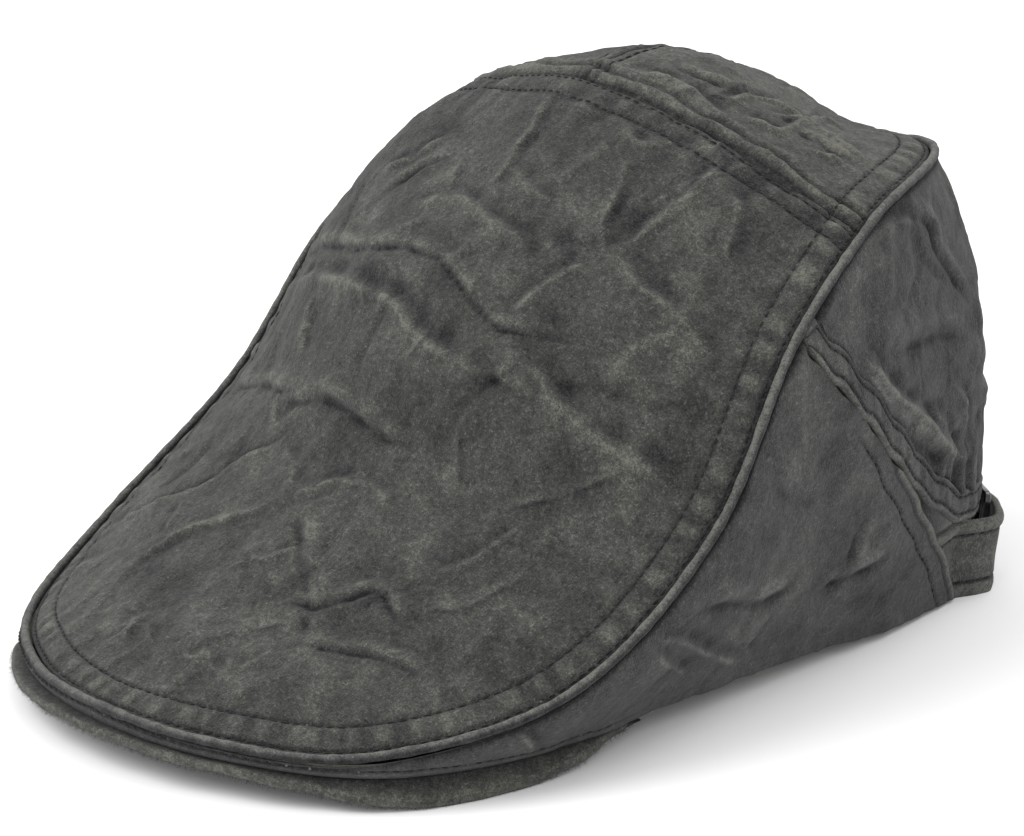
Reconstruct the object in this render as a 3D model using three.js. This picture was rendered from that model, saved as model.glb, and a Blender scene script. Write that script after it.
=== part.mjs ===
import * as THREE from 'three';

// A soft waxed-cotton flat cap, standing on its peak and its back strap.
// Millimetres. The nose points along -Y, the crown rises along +Z and the
// wearer's left is +X. The two sides match, apart from the dents of the crown,
// the ends of the strap and the slider.

// Overall sizes of the shape that the cloth takes
const SEAM_WIDTH = 184;
const SEAM_LENGTH = 246;
const CROWN_HEIGHT = 139;
const WALL_BELLY = 28;
const BELLY_RISE = 0.85;

// Cloth, edges and clearances
const CLOTH = 2;
const CORD_THICKNESS = 2.6;
const GAP = 0.3;

// Hem, strap, slider and peak
const HEM_WIDTH = 7;
const HEM_THICKNESS = 2.8;
const HEM_CLEAR = 0.9;
const STRAP_WIDTH = 20;
const STRAP_THICKNESS = 1.6;
const SLIDER_LENGTH = 18;
const SLIDER_BAR = 3;
const SLIDER_THICKNESS = 1.8;
const SLIDER_OVERHANG = 4;
const SLIDER_CORNER = 2.4;
const SLOT_CORNER = 0.8;
const PEAK_THICKNESS = 2.4;
const PEAK_LIP = 4.5;
const PEAK_DEPTH = 56;
const PEAK_ARCH = 8;

// Sections of the cap from the nose to the back, evenly spaced round the top
// seam. across is a share of half the seam width, along of the seam length,
// up of the crown height, and belly of the wall belly. seam is the top seam,
// ridge the middle of the crown, and rim the lower edge of the walls. full
// says how squarely a row of the crown rises from its two seam points. A wall
// bulges most above its middle, by as much as the belly rise is under 1.
const SECTIONS = [
  { seamAcross: 0.00, seamAlong: 0.013, seamUp: 0.105, ridgeAlong: 0.013, ridgeUp: 0.105, full: 2.6,
    rimAcross: 0.00, rimAlong: 0.018, rimUp: 0.070, belly: 0.00 },
  { seamAcross: 0.38, seamAlong: 0.045, seamUp: 0.091, ridgeAlong: 0.037, ridgeUp: 0.120, full: 2.6,
    rimAcross: 0.385, rimAlong: 0.046, rimUp: 0.062, belly: 0.05 },
  { seamAcross: 0.74, seamAlong: 0.129, seamUp: 0.091, ridgeAlong: 0.099, ridgeUp: 0.166, full: 2.6,
    rimAcross: 0.735, rimAlong: 0.135, rimUp: 0.051, belly: 0.08 },
  { seamAcross: 0.98, seamAlong: 0.286, seamUp: 0.167, ridgeAlong: 0.192, ridgeUp: 0.250, full: 2.6,
    rimAcross: 0.86, rimAlong: 0.280, rimUp: 0.042, belly: 0.12 },
  { seamAcross: 1.00, seamAlong: 0.454, seamUp: 0.362, ridgeAlong: 0.312, ridgeUp: 0.414, full: 2.8,
    rimAcross: 0.85, rimAlong: 0.435, rimUp: 0.045, belly: 0.18 },
  { seamAcross: 0.945, seamAlong: 0.576, seamUp: 0.632, ridgeAlong: 0.425, ridgeUp: 0.696, full: 3.0,
    rimAcross: 0.80, rimAlong: 0.605, rimUp: 0.036, belly: 0.22 },
  { seamAcross: 0.84, seamAlong: 0.716, seamUp: 0.783, ridgeAlong: 0.659, ridgeUp: 0.992, full: 1.72,
    rimAcross: 0.74, rimAlong: 0.780, rimUp: 0.014, belly: 0.28 },
  { seamAcross: 0.53, seamAlong: 0.916, seamUp: 0.814, ridgeAlong: 0.841, ridgeUp: 0.942, full: 1.55,
    rimAcross: 0.574, rimAlong: 0.945, rimUp: 0.004, belly: 0.31 },
  { seamAcross: 0.00, seamAlong: 0.986, seamUp: 0.771, ridgeAlong: 0.986, ridgeUp: 0.771, full: 2.2,
    rimAcross: 0.00, rimAlong: 0.995, rimUp: 0.000, belly: 0.34 },
];

// Where the cross seam leaves the top seam, and where a panel's first and
// last rows stop short of the nose and the back.
const CROSS_SEAM_ROUND = 0.733;
const ROW_START = 0.03;
const ROW_END = 0.99;

// Broad dents and swells of the crown. across runs from -1 to 1 between the
// seams, round from the nose to the back, and depth is a share of the crown
// height, inward when positive.
const FOLDS = [
  { across: -0.86, round: 0.55, spanAcross: 0.22, spanRound: 0.07, depth: 0.034 },
  { across: -0.55, round: 0.44, spanAcross: 0.40, spanRound: 0.035, depth: 0.016 },
  { across: -0.05, round: 0.50, spanAcross: 0.45, spanRound: 0.030, depth: 0.020 },
  { across: 0.30, round: 0.56, spanAcross: 0.40, spanRound: 0.025, depth: -0.014 },
  { across: 0.35, round: 0.36, spanAcross: 0.18, spanRound: 0.080, depth: 0.014 },
  { across: 0.10, round: 0.27, spanAcross: 0.30, spanRound: 0.050, depth: -0.012 },
  { across: 0.55, round: 0.655, spanAcross: 0.30, spanRound: 0.030, depth: 0.012 },
  { across: -0.40, round: 0.62, spanAcross: 0.35, spanRound: 0.030, depth: -0.012 },
  { across: -0.72, round: 0.70, spanAcross: 0.30, spanRound: 0.110, depth: -0.038 },
  { across: -0.50, round: 0.84, spanAcross: 0.35, spanRound: 0.060, depth: 0.042 },
  { across: 0.60, round: 0.86, spanAcross: 0.30, spanRound: 0.060, depth: 0.038 },
];

// The diagonal hem of the back panels, from the top seam down to the strap.
// round runs round the cap, and drop is a share of the wall's height.
const HEM_PATH = [
  { round: 0.633, drop: 0.030 },
  { round: 0.665, drop: 0.219 },
  { round: 0.696, drop: 0.378 },
  { round: 0.726, drop: 0.522 },
  { round: 0.754, drop: 0.634 },
  { round: 0.784, drop: 0.724 },
  { round: 0.815, drop: 0.792 },
  { round: 0.850, drop: 0.812 },
  { round: 1.000, drop: 0.806 },
];

// The free rear edge of a side panel, where it leaves the hem for the rim.
const REAR_EDGE = [
  { drop: 0.00, round: 0.660 },
  { drop: 0.34, round: 0.702 },
  { drop: 0.57, round: 0.737 },
  { drop: 0.70, round: 0.765 },
  { drop: 0.80, round: 0.788 },
  { drop: 0.90, round: 0.811 },
  { drop: 1.00, round: 0.828 },
];

// The peak below the front band: how far its edge stands out and drops, as
// shares of the peak lip.
const PEAK_EDGE = [
  { round: 0.00, out: 0.25, drop: 0.50 },
  { round: 0.15, out: 0.25, drop: 0.60 },
  { round: 0.20, out: 0.35, drop: 0.78 },
  { round: 0.25, out: 0.55, drop: 1.20 },
  { round: 0.30, out: 0.67, drop: 1.40 },
  { round: 0.36, out: 0.62, drop: 1.25 },
  { round: 0.41, out: 0.40, drop: 0.85 },
  { round: 0.46, out: 0.10, drop: 0.35 },
];

// How far each strap lies outside the walls, as shares of its thickness. It is
// sewn inside its side panel, and the two cross at the slider. Past 1 the
// right strap has gone round the back to the left side.
const LEFT_STRAP_PATH = [
  { round: 0.755, out: -2.6 },
  { round: 0.831, out: -2.6 },
  { round: 0.856, out: 3.1 },
  { round: 0.939, out: 3.1 },
];
const RIGHT_STRAP_PATH = [
  { round: 0.755, out: -2.6 },
  { round: 0.835, out: -2.6 },
  { round: 0.875, out: 0.1 },
  { round: 1.000, out: 0.1 },
  { round: 1.060, out: -0.9 },
  { round: 1.118, out: -0.9 },
];
const SLIDER_ROUND = 0.893;

const CORD_RADIUS = CORD_THICKNESS / 2;
const EDGE_INSET = CORD_RADIUS + GAP;
const SEAM_MITRE = CLOTH / 2;
const HEM_START = 0.007;
const SIDE_START = GAP / SEAM_LENGTH;
const BACK_END = 1 - GAP / SEAM_LENGTH;

// How finely each kind of piece is divided
const GRID = {
  frontRows: 26,
  frontColumns: 26,
  rearRows: 9,
  rearColumns: 13,
  wallRows: 7,
  sideColumns: 34,
  hemRows: 2,
  hemColumns: 24,
  peakColumns: 36,
  leftStrapColumns: 22,
  rightStrapColumns: 40,
  cordSteps: 84,
  cordSides: 8,
  cornerSteps: 3,
};

const WAXED_COTTON = { color: 0x55554f, roughness: 0.85, metalness: 0 };
const DARK_COTTON = { color: 0x474743, roughness: 0.88, metalness: 0 };
const BLACK_PLASTIC = { color: 0x111113, roughness: 0.25, metalness: 0 };

// Smooth value of one named column at a share of the way round a closed,
// mirrored list of sections. Columns across the cap change sign on the far side.
function sectionValue(column, round) {
  const last = SECTIONS.length - 1;
  const count = 2 * last;
  const place = ((((round % 2) + 2) % 2) / 2) * count;
  const index = Math.floor(place);
  const t = place - index;
  const sign = column.endsWith('Across') ? -1 : 1;
  const at = (k) => {
    const wrapped = ((k % count) + count) % count;
    return wrapped <= last ? SECTIONS[wrapped][column] : sign * SECTIONS[count - wrapped][column];
  };
  return catmullRom(at(index - 1), at(index), at(index + 1), at(index + 2), t);
}

function catmullRom(a, b, c, d, t) {
  const squared = 2 * a - 5 * b + 4 * c - d;
  const cubed = 3 * b - a - 3 * c + d;
  return 0.5 * (2 * b + (c - a) * t + squared * t ** 2 + cubed * t ** 3);
}

// Reads the column to of a short table at a value of the column from. It is
// eased halfway, so that a path turns softly at its rows.
function readTable(table, from, to, value) {
  if (value <= table[0][from]) return table[0][to];
  for (let i = 1; i < table.length; i += 1) {
    if (value <= table[i][from]) {
      const share = (value - table[i - 1][from]) / (table[i][from] - table[i - 1][from]);
      const ease = share * share * (3 - 2 * share);
      const blend = (share + ease) / 2;
      return table[i - 1][to] + (table[i][to] - table[i - 1][to]) * blend;
    }
  }
  return table[table.length - 1][to];
}

function placed(across, along, up) {
  return new THREE.Vector3(across * SEAM_WIDTH / 2, along * SEAM_LENGTH, up * CROWN_HEIGHT);
}

// A point of the top seam or of the rim.
function edgePoint(edge, round) {
  const across = sectionValue(`${edge}Across`, round);
  const along = sectionValue(`${edge}Along`, round);
  const up = sectionValue(`${edge}Up`, round);
  return placed(across, along, up);
}

function seamPoint(round) {
  return edgePoint('seam', round);
}

function rimPoint(round) {
  return edgePoint('rim', round);
}

// The level direction that points away from the cap at a place round it.
function outward(round) {
  const step = 0.001;
  const ahead = seamPoint(round + step).add(rimPoint(round + step));
  const behind = seamPoint(round - step).add(rimPoint(round - step));
  const run = ahead.sub(behind);
  return new THREE.Vector3(run.y, -run.x, 0).normalize();
}

function wallHeight(round) {
  return seamPoint(round).distanceTo(rimPoint(round));
}

// A point of the walls, drop being the share of the way from seam to rim.
function wallPoint(round, drop) {
  const bulge = Math.sin(Math.PI * Math.max(drop, 0) ** BELLY_RISE);
  const belly = sectionValue('belly', round) * WALL_BELLY * bulge;
  return seamPoint(round).lerp(rimPoint(round), drop).addScaledVector(outward(round), belly);
}

function foldDepth(across, round) {
  let depth = 0;
  for (const fold of FOLDS) {
    const u = (across - fold.across) / fold.spanAcross;
    const v = (round - fold.round) / fold.spanRound;
    depth += fold.depth * Math.exp(-u * u - v * v);
  }
  return depth * CROWN_HEIGHT * (1 - across ** 4);
}

// A point of the crown. Each row is an arch between two seam points, bowed
// forward in the middle. inset draws the row's ends in from the top seam.
function crownPoint(across, round, inset) {
  const end = seamPoint(round).addScaledVector(outward(round), -inset);
  const ridgeAlong = sectionValue('ridgeAlong', round) * SEAM_LENGTH + inset * (1 - 2 * round);
  const ridgeUp = sectionValue('ridgeUp', round) * CROWN_HEIGHT;
  const side = Math.abs(across);
  const arch = 1 - side ** sectionValue('full', round);
  return new THREE.Vector3(
    across * end.x,
    ridgeAlong + (end.y - ridgeAlong) * side * side,
    end.z + (ridgeUp - end.z) * arch - foldDepth(across, round),
  );
}

// Unit normals of a grid of points, taken from its neighbours.
function gridNormals(grid) {
  const rows = grid.length;
  const columns = grid[0].length;
  return grid.map((row, i) => row.map((_, j) => {
    const alongRow = grid[i][Math.min(j + 1, columns - 1)].clone().sub(grid[i][Math.max(j - 1, 0)]);
    const alongColumn = grid[Math.min(i + 1, rows - 1)][j].clone().sub(grid[Math.max(i - 1, 0)][j]);
    return alongRow.cross(alongColumn).normalize();
  }));
}

// Turns a closed list of triangles outward and makes a geometry of it.
function closedGeometry(points, triangles) {
  let volume = 0;
  for (const [a, b, c] of triangles) {
    volume += points[a].dot(points[b].clone().cross(points[c]));
  }
  const geometry = new THREE.BufferGeometry();
  geometry.setAttribute('position', new THREE.Float32BufferAttribute(points.flatMap((p) => p.toArray()), 3));
  geometry.setIndex(triangles.flatMap(([a, b, c]) => (volume > 0 ? [a, b, c] : [a, c, b])));
  geometry.computeVertexNormals();
  return geometry;
}

// Two matching grids, one each side of the cloth, joined round their edges.
function clothBetween(outer, inner) {
  const rows = outer.length;
  const columns = outer[0].length;
  const points = [...outer.flat(), ...inner.flat()];
  const inside = rows * columns;
  const at = (i, j) => i * columns + j;
  const triangles = [];
  const quad = (a, b, c, d) => triangles.push([a, b, c], [a, c, d]);
  const end = columns - 1;
  for (let i = 0; i < rows - 1; i += 1) {
    for (let j = 0; j < columns - 1; j += 1) {
      quad(at(i, j), at(i, j + 1), at(i + 1, j + 1), at(i + 1, j));
      quad(inside + at(i, j), inside + at(i + 1, j), inside + at(i + 1, j + 1), inside + at(i, j + 1));
    }
  }
  for (let j = 0; j < columns - 1; j += 1) {
    quad(at(0, j), inside + at(0, j), inside + at(0, j + 1), at(0, j + 1));
    quad(at(rows - 1, j), at(rows - 1, j + 1), inside + at(rows - 1, j + 1), inside + at(rows - 1, j));
  }
  for (let i = 0; i < rows - 1; i += 1) {
    quad(at(i, 0), at(i + 1, 0), inside + at(i + 1, 0), inside + at(i, 0));
    quad(at(i, end), inside + at(i, end), inside + at(i + 1, end), at(i + 1, end));
  }
  return closedGeometry(points, triangles);
}

function makeGrid(rows, columns, point) {
  return Array.from({ length: rows + 1 }, (_, i) => (
    Array.from({ length: columns + 1 }, (__, j) => point(i / rows, j / columns))
  ));
}

// A copy of a grid moved along its own normals, towards a point if inward.
function movedGrid(grid, normalsFrom, distance, towards) {
  const normals = gridNormals(normalsFrom);
  return grid.map((row, i) => row.map((p, j) => {
    const normal = normals[i][j].clone();
    const flip = normal.dot(towards.clone().sub(p)) > 0 ? 1 : -1;
    return p.clone().addScaledVector(normal, flip * distance);
  }));
}

const HEAD_CENTRE = placed(0, 0.55, 0.25);

// A panel of the crown between two shares across and two shares round. Its
// underside is drawn in further, so that its seam edges are mitred. Where two
// panels meet along the middle, neither passes it.
function crownPanel(acrossFrom, acrossTo, roundFrom, roundTo, rows, columns) {
  const outer = makeGrid(rows, columns, (r, c) => crownPoint(
    acrossFrom + (acrossTo - acrossFrom) * c, roundFrom + (roundTo - roundFrom) * r, EDGE_INSET));
  const under = makeGrid(rows, columns, (r, c) => crownPoint(
    acrossFrom + (acrossTo - acrossFrom) * c, roundFrom + (roundTo - roundFrom) * r, EDGE_INSET + CLOTH));
  const inner = movedGrid(under, under, CLOTH, HEAD_CENTRE);
  const side = Math.sign(acrossFrom + acrossTo);
  if (side !== 0) {
    const edge = side > 0 ? 0 : columns;
    inner.forEach((row, i) => {
      row[edge].x = outer[i][edge].x;
    });
  }
  return clothBetween(outer, inner);
}

// The direction straight out of the wall's cloth at a place on it.
function wallNormal(round, drop) {
  const step = 0.004;
  const level = wallPoint(round + step, drop).sub(wallPoint(round - step, drop));
  const upward = wallPoint(round, drop - step).sub(wallPoint(round, drop + step));
  return level.cross(upward).normalize();
}

// A panel of the wall. place turns shares down and along the panel into a
// place on the wall. The lining side starts lower, which mitres the seam.
function wallCloth(place, rows, columns, proud, thickness) {
  const face = (inset, out) => makeGrid(rows, columns, (r, c) => {
    const { round, drop } = place(r, c, inset);
    return wallPoint(round, drop).addScaledVector(wallNormal(round, drop), out);
  });
  return clothBetween(face(EDGE_INSET, proud), face(EDGE_INSET + SEAM_MITRE, proud - thickness));
}

// The share of the wall's height that a length down the wall takes up.
function dropOf(round, length) {
  return length / wallHeight(round);
}

// The drop that takes a wall's edge a given distance clear of the top seam,
// however steeply the seam climbs there.
function clearDrop(round, distance) {
  const step = 0.001;
  const climb = seamPoint(round + step).sub(seamPoint(round - step));
  const fall = rimPoint(round).sub(seamPoint(round));
  return dropOf(round, distance) / Math.sin(climb.angleTo(fall));
}

// How much of the wall's height the slanting hem takes up.
function hemRise(round) {
  const step = 0.01;
  const low = (r) => wallPoint(r, readTable(HEM_PATH, 'round', 'drop', r));
  const before = low(Math.max(round - step, HEM_PATH[0].round));
  const after = low(Math.min(round + step, 1));
  const run = Math.hypot(after.x - before.x, after.y - before.y);
  const slope = Math.abs(after.z - before.z) / run;
  return dropOf(round, HEM_WIDTH * Math.sqrt(1 + slope * slope));
}

function mix(from, to, share) {
  return from + (to - from) * share;
}

// One side panel, from the middle of the front band to its free rear edge.
function sidePanel(side) {
  const place = (r, c, inset) => {
    const down = mix(clearDrop(HEM_PATH[0].round, inset), 1, r);
    const underHem = readTable(HEM_PATH, 'drop', 'round', down) - HEM_CLEAR / SEAM_LENGTH;
    const round = mix(SIDE_START, Math.min(underHem, readTable(REAR_EDGE, 'drop', 'round', down)), c);
    return { round: side * round, drop: mix(clearDrop(round, inset), 1, r) };
  };
  return wallCloth(place, GRID.wallRows, GRID.sideColumns, 0, CLOTH);
}

// Back panel and hem share their columns, so that their edges run together.
function hemRound(column) {
  return mix(HEM_PATH[0].round + HEM_START, BACK_END, column / GRID.hemColumns);
}

// One back panel, above the hem, up to the seam at the middle of the back.
function backPanel(side) {
  const place = (r, c, inset) => {
    const round = hemRound(1 + c * (GRID.hemColumns - 1));
    const hemTop = readTable(HEM_PATH, 'round', 'drop', round) - hemRise(round);
    return { round: side * round, drop: mix(clearDrop(round, inset), hemTop - dropOf(round, GAP), r) };
  };
  return wallCloth(place, GRID.wallRows, GRID.hemColumns - 1, 0, CLOTH);
}

// The turned and stitched hem band along the foot of one back panel.
function backHem(side) {
  const place = (r, c, inset) => {
    const round = hemRound(c * GRID.hemColumns);
    const foot = readTable(HEM_PATH, 'round', 'drop', round);
    const head = Math.max(foot - hemRise(round), clearDrop(round, inset));
    return { round: side * round, drop: mix(head, foot, r) };
  };
  return wallCloth(place, GRID.hemRows, GRID.hemColumns, HEM_THICKNESS - CLOTH, HEM_THICKNESS);
}

// A strap that stands on edge, its lower edge level with the table.
function strapAlong(path, side, steps) {
  const first = path[0].round;
  const last = path[path.length - 1].round;
  const point = (round, out, up) => {
    const rim = wallPoint(side * round, 1);
    return new THREE.Vector3(rim.x, rim.y, up).addScaledVector(outward(side * round), out);
  };
  const face = (extra) => makeGrid(1, steps, (r, c) => {
    const round = mix(first, last, c);
    const out = readTable(path, 'round', 'out', round) * STRAP_THICKNESS;
    const lean = wallLean(round) * r;
    return point(round, out + extra + lean, r * STRAP_WIDTH);
  });
  return clothBetween(face(STRAP_THICKNESS), face(0));
}

// How far the wall stands out from the rim at the height of the strap's top.
function wallLean(round) {
  const share = STRAP_WIDTH / CROWN_HEIGHT / sectionValue('seamUp', round);
  const high = wallPoint(round, 1 - share);
  const low = wallPoint(round, 1);
  return high.sub(low).dot(outward(round));
}

// The black slider: a flat frame with a bar across its middle.
function slider() {
  const height = STRAP_WIDTH + SLIDER_OVERHANG;
  const outline = new THREE.Shape();
  roundedBox(outline, SLIDER_LENGTH, height, SLIDER_CORNER);
  const holeLength = (SLIDER_LENGTH - 3 * SLIDER_BAR) / 2;
  for (const side of [-1, 1]) {
    const hole = new THREE.Path();
    roundedBox(hole, holeLength, height - 2 * SLIDER_BAR, SLOT_CORNER, side * (holeLength + SLIDER_BAR) / 2);
    outline.holes.push(hole);
  }
  const geometry = new THREE.ExtrudeGeometry(outline, {
    depth: SLIDER_THICKNESS, bevelEnabled: false, curveSegments: GRID.cornerSteps,
  });
  geometry.translate(0, height / 2, 0);
  return geometry;
}

function roundedBox(path, length, height, radius, centre = 0) {
  const left = centre - length / 2;
  const right = centre + length / 2;
  const foot = -height / 2;
  const head = height / 2;
  path.moveTo(left + radius, foot);
  path.lineTo(right - radius, foot);
  path.absarc(right - radius, foot + radius, radius, -Math.PI / 2, 0, false);
  path.lineTo(right, head - radius);
  path.absarc(right - radius, head - radius, radius, 0, Math.PI / 2, false);
  path.lineTo(left + radius, head);
  path.absarc(left + radius, head - radius, radius, Math.PI / 2, Math.PI, false);
  path.lineTo(left, foot + radius);
  path.absarc(left + radius, foot + radius, radius, Math.PI, Math.PI * 1.5, false);
}

// The peak: a stiff curved board. Its lip stands out below the front band,
// it lies flat under the band, and it arches back to the head opening.
function peak() {
  const corner = PEAK_EDGE[PEAK_EDGE.length - 1].round;
  const innerCorner = wallPoint(corner, 1).addScaledVector(outward(corner), -CLOTH - 2 * GAP);
  const noseAlong = rimPoint(0).y;
  const crease = (round) => {
    const point = wallPoint(round, 1);
    point.z -= GAP;
    return point;
  };
  const lip = (round, share) => {
    const out = readTable(PEAK_EDGE, 'round', 'out', Math.abs(round)) * PEAK_LIP;
    const drop = readTable(PEAK_EDGE, 'round', 'drop', Math.abs(round)) * PEAK_LIP;
    const edge = crease(round).addScaledVector(outward(round), out);
    edge.z += Math.min(GAP + PEAK_THICKNESS - drop, 0);
    return crease(round).lerp(edge, share);
  };
  const board = (round, share) => {
    const turn = (Math.PI / 2) * (round / corner);
    const arched = new THREE.Vector3(
      innerCorner.x * Math.sin(turn),
      innerCorner.y - (innerCorner.y - noseAlong - PEAK_DEPTH) * Math.cos(turn),
      innerCorner.z - GAP + PEAK_ARCH * Math.cos(turn),
    );
    return crease(round).addScaledVector(outward(round), -CLOTH - GAP).lerp(arched, share);
  };
  const rows = [
    (round) => lip(round, 1),
    (round) => lip(round, 0.5),
    crease,
    (round) => board(round, 0),
    (round) => board(round, 0.3),
    (round) => board(round, 0.65),
    (round) => board(round, 1),
  ];
  const top = rows.map((row) => Array.from({ length: GRID.peakColumns + 1 }, (_, j) => (
    row(mix(-corner, corner, j / GRID.peakColumns))
  )));
  const under = top.map((row) => row.map((p) => new THREE.Vector3(p.x, p.y, p.z - PEAK_THICKNESS)));
  return clothBetween(top, under);
}

// The turned edge that runs along the whole top seam like a cord.
class SeamLoop extends THREE.Curve {
  getPoint(t, target = new THREE.Vector3()) {
    return target.copy(seamPoint(2 * t));
  }
}

function seamCord() {
  const sides = GRID.cordSides;
  const steps = GRID.cordSteps;
  const points = [];
  const triangles = [];
  const up = new THREE.Vector3(0, 0, 1);
  const loop = new SeamLoop();
  for (let i = 0; i < steps; i += 1) {
    const t = i / steps;
    const centre = loop.getPoint(t);
    const along = loop.getTangent(t);
    const across = along.clone().cross(up).normalize();
    const lift = across.clone().cross(along).normalize();
    for (let k = 0; k < sides; k += 1) {
      const turn = (k / sides) * 2 * Math.PI;
      points.push(centre.clone()
        .addScaledVector(across, CORD_RADIUS * Math.cos(turn))
        .addScaledVector(lift, CORD_RADIUS * Math.sin(turn)));
    }
  }
  for (let i = 0; i < steps; i += 1) {
    for (let k = 0; k < sides; k += 1) {
      const a = i * sides + k;
      const b = i * sides + (k + 1) % sides;
      const c = ((i + 1) % steps) * sides + (k + 1) % sides;
      const d = ((i + 1) % steps) * sides + k;
      triangles.push([a, b, c], [a, c, d]);
    }
  }
  return closedGeometry(points, triangles);
}

const cap = new THREE.Group();

function addPiece(name, geometry, finish) {
  const mesh = new THREE.Mesh(geometry, new THREE.MeshStandardMaterial(finish));
  mesh.name = name;
  cap.add(mesh);
  return mesh;
}

const middle = GAP / SEAM_WIDTH;
const frontEnd = CROSS_SEAM_ROUND - GAP / SEAM_LENGTH;
const rearStart = CROSS_SEAM_ROUND + GAP / SEAM_LENGTH;
const frontPanel = crownPanel(-1, 1, ROW_START, frontEnd, GRID.frontRows, GRID.frontColumns);
const rearLeft = crownPanel(middle, 1, rearStart, ROW_END, GRID.rearRows, GRID.rearColumns);
const rearRight = crownPanel(-1, -middle, rearStart, ROW_END, GRID.rearRows, GRID.rearColumns);
addPiece('front_top_panel', frontPanel, WAXED_COTTON);
addPiece('rear_top_panel_left', rearLeft, WAXED_COTTON);
addPiece('rear_top_panel_right', rearRight, WAXED_COTTON);
addPiece('top_seam_cord', seamCord(), WAXED_COTTON);
for (const [word, side] of [['left', 1], ['right', -1]]) {
  addPiece(`side_panel_${word}`, sidePanel(side), WAXED_COTTON);
  addPiece(`back_panel_${word}`, backPanel(side), WAXED_COTTON);
  addPiece(`back_hem_${word}`, backHem(side), DARK_COTTON);
}
addPiece('peak', peak(), WAXED_COTTON);
addPiece('strap_left', strapAlong(LEFT_STRAP_PATH, 1, GRID.leftStrapColumns), WAXED_COTTON);
addPiece('strap_right', strapAlong(RIGHT_STRAP_PATH, -1, GRID.rightStrapColumns), WAXED_COTTON);

// The slider lies flat under the left strap, clear of the strap's curve.
const buckle = addPiece('strap_slider', slider(), BLACK_PLASTIC);
const buckleOut = outward(SLIDER_ROUND);
const buckleFoot = wallPoint(SLIDER_ROUND, 1);
const probe = 0.01;
const probed = wallPoint(SLIDER_ROUND + probe, 1).distanceTo(wallPoint(SLIDER_ROUND - probe, 1));
const halfTurn = (SLIDER_LENGTH / probed) * probe;
const strapBow = Math.max(...[-1, 1].map((end) => (
  buckleFoot.clone().sub(wallPoint(SLIDER_ROUND + end * halfTurn, 1)).dot(buckleOut))));
const strapOut = LEFT_STRAP_PATH[LEFT_STRAP_PATH.length - 1].out * STRAP_THICKNESS;
const leaning = new THREE.Vector3(0, 0, STRAP_WIDTH)
  .addScaledVector(buckleOut, wallLean(SLIDER_ROUND))
  .normalize();
const sideways = leaning.clone().cross(buckleOut).normalize();
const faceOut = sideways.clone().cross(leaning);
const buckleGap = strapOut - GAP - strapBow - SLIDER_THICKNESS;
buckle.quaternion.setFromRotationMatrix(new THREE.Matrix4().makeBasis(sideways, leaning, faceOut));
buckle.position.set(buckleFoot.x, buckleFoot.y, 0)
  .addScaledVector(faceOut, buckleGap)
  .addScaledVector(leaning, -(buckleGap + SLIDER_THICKNESS) * faceOut.z / leaning.z);

// The origin is the middle of the cap's footprint, on the table.
const box = new THREE.Box3().setFromObject(cap);
cap.position.set(-(box.min.x + box.max.x) / 2, -(box.min.y + box.max.y) / 2, -box.min.z);

export default cap;
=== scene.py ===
# %% [markdown]
# # A washed waxed-cotton flat cap
# The cap is sewn from flat panels: a long front top, two rear tops, two sides, two back pieces with a
# double hem, a stiff peak and a strap with a plastic slider. The plain solids of these pieces are already
# placed, in metres, with the nose along -Y. This lesson dresses each one: the same surface again, finely
# divided, with its creases, puckered seams and stitches, and a cloth that is worn pale on every fold.

# %% Load the plain model
import math

import bpy
import numpy as np
from mathutils import Matrix, Vector
from mathutils.kdtree import KDTree


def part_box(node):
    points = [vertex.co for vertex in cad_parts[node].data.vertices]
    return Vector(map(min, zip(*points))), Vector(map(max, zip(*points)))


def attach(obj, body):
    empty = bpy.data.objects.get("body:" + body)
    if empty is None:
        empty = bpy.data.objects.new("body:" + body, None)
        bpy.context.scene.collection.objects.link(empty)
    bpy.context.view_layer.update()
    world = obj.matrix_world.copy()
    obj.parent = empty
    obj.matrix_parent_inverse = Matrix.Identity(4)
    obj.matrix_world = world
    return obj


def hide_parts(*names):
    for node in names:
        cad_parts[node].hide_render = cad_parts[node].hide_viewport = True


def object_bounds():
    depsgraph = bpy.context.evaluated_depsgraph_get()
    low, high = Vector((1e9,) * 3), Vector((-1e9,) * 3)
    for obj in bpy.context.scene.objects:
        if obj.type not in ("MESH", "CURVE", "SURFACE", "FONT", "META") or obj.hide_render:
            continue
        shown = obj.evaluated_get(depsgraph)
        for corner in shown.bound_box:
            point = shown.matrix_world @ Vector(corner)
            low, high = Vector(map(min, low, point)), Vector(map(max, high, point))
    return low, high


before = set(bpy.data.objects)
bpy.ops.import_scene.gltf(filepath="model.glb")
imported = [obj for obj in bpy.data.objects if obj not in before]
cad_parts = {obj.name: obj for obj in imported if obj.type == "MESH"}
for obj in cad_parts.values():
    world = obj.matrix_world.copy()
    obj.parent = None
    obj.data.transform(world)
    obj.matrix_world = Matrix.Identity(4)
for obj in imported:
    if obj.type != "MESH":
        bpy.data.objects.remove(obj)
plain_box = [list(corner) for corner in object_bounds()]
plain_size = [round((high - low) * 1000) for low, high in zip(*plain_box)]
print(len(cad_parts), "plain pieces,", plain_size, "mm")

# %% [markdown]
# ## The shape of the cloth
# A cap has no straight edge to measure from, so its form is a short table of sections, evenly spaced
# round the top seam from the nose to the back. Smooth curves through the sections give the top seam,
# the middle ridge of the crown and the rim. All three are mirrored, so the loop closes on itself.
# Everything here is in millimetres, and turns into metres only when a mesh is made.

# %% Sizes and sections
MM = 0.001
SEAM_WIDTH = 184
SEAM_LENGTH = 246
CROWN_HEIGHT = 139
WALL_BELLY = 28
BELLY_RISE = 0.85
CLOTH = 2
CORD_RADIUS = 1.3
GAP = 0.3
EDGE_INSET = CORD_RADIUS + GAP

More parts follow.
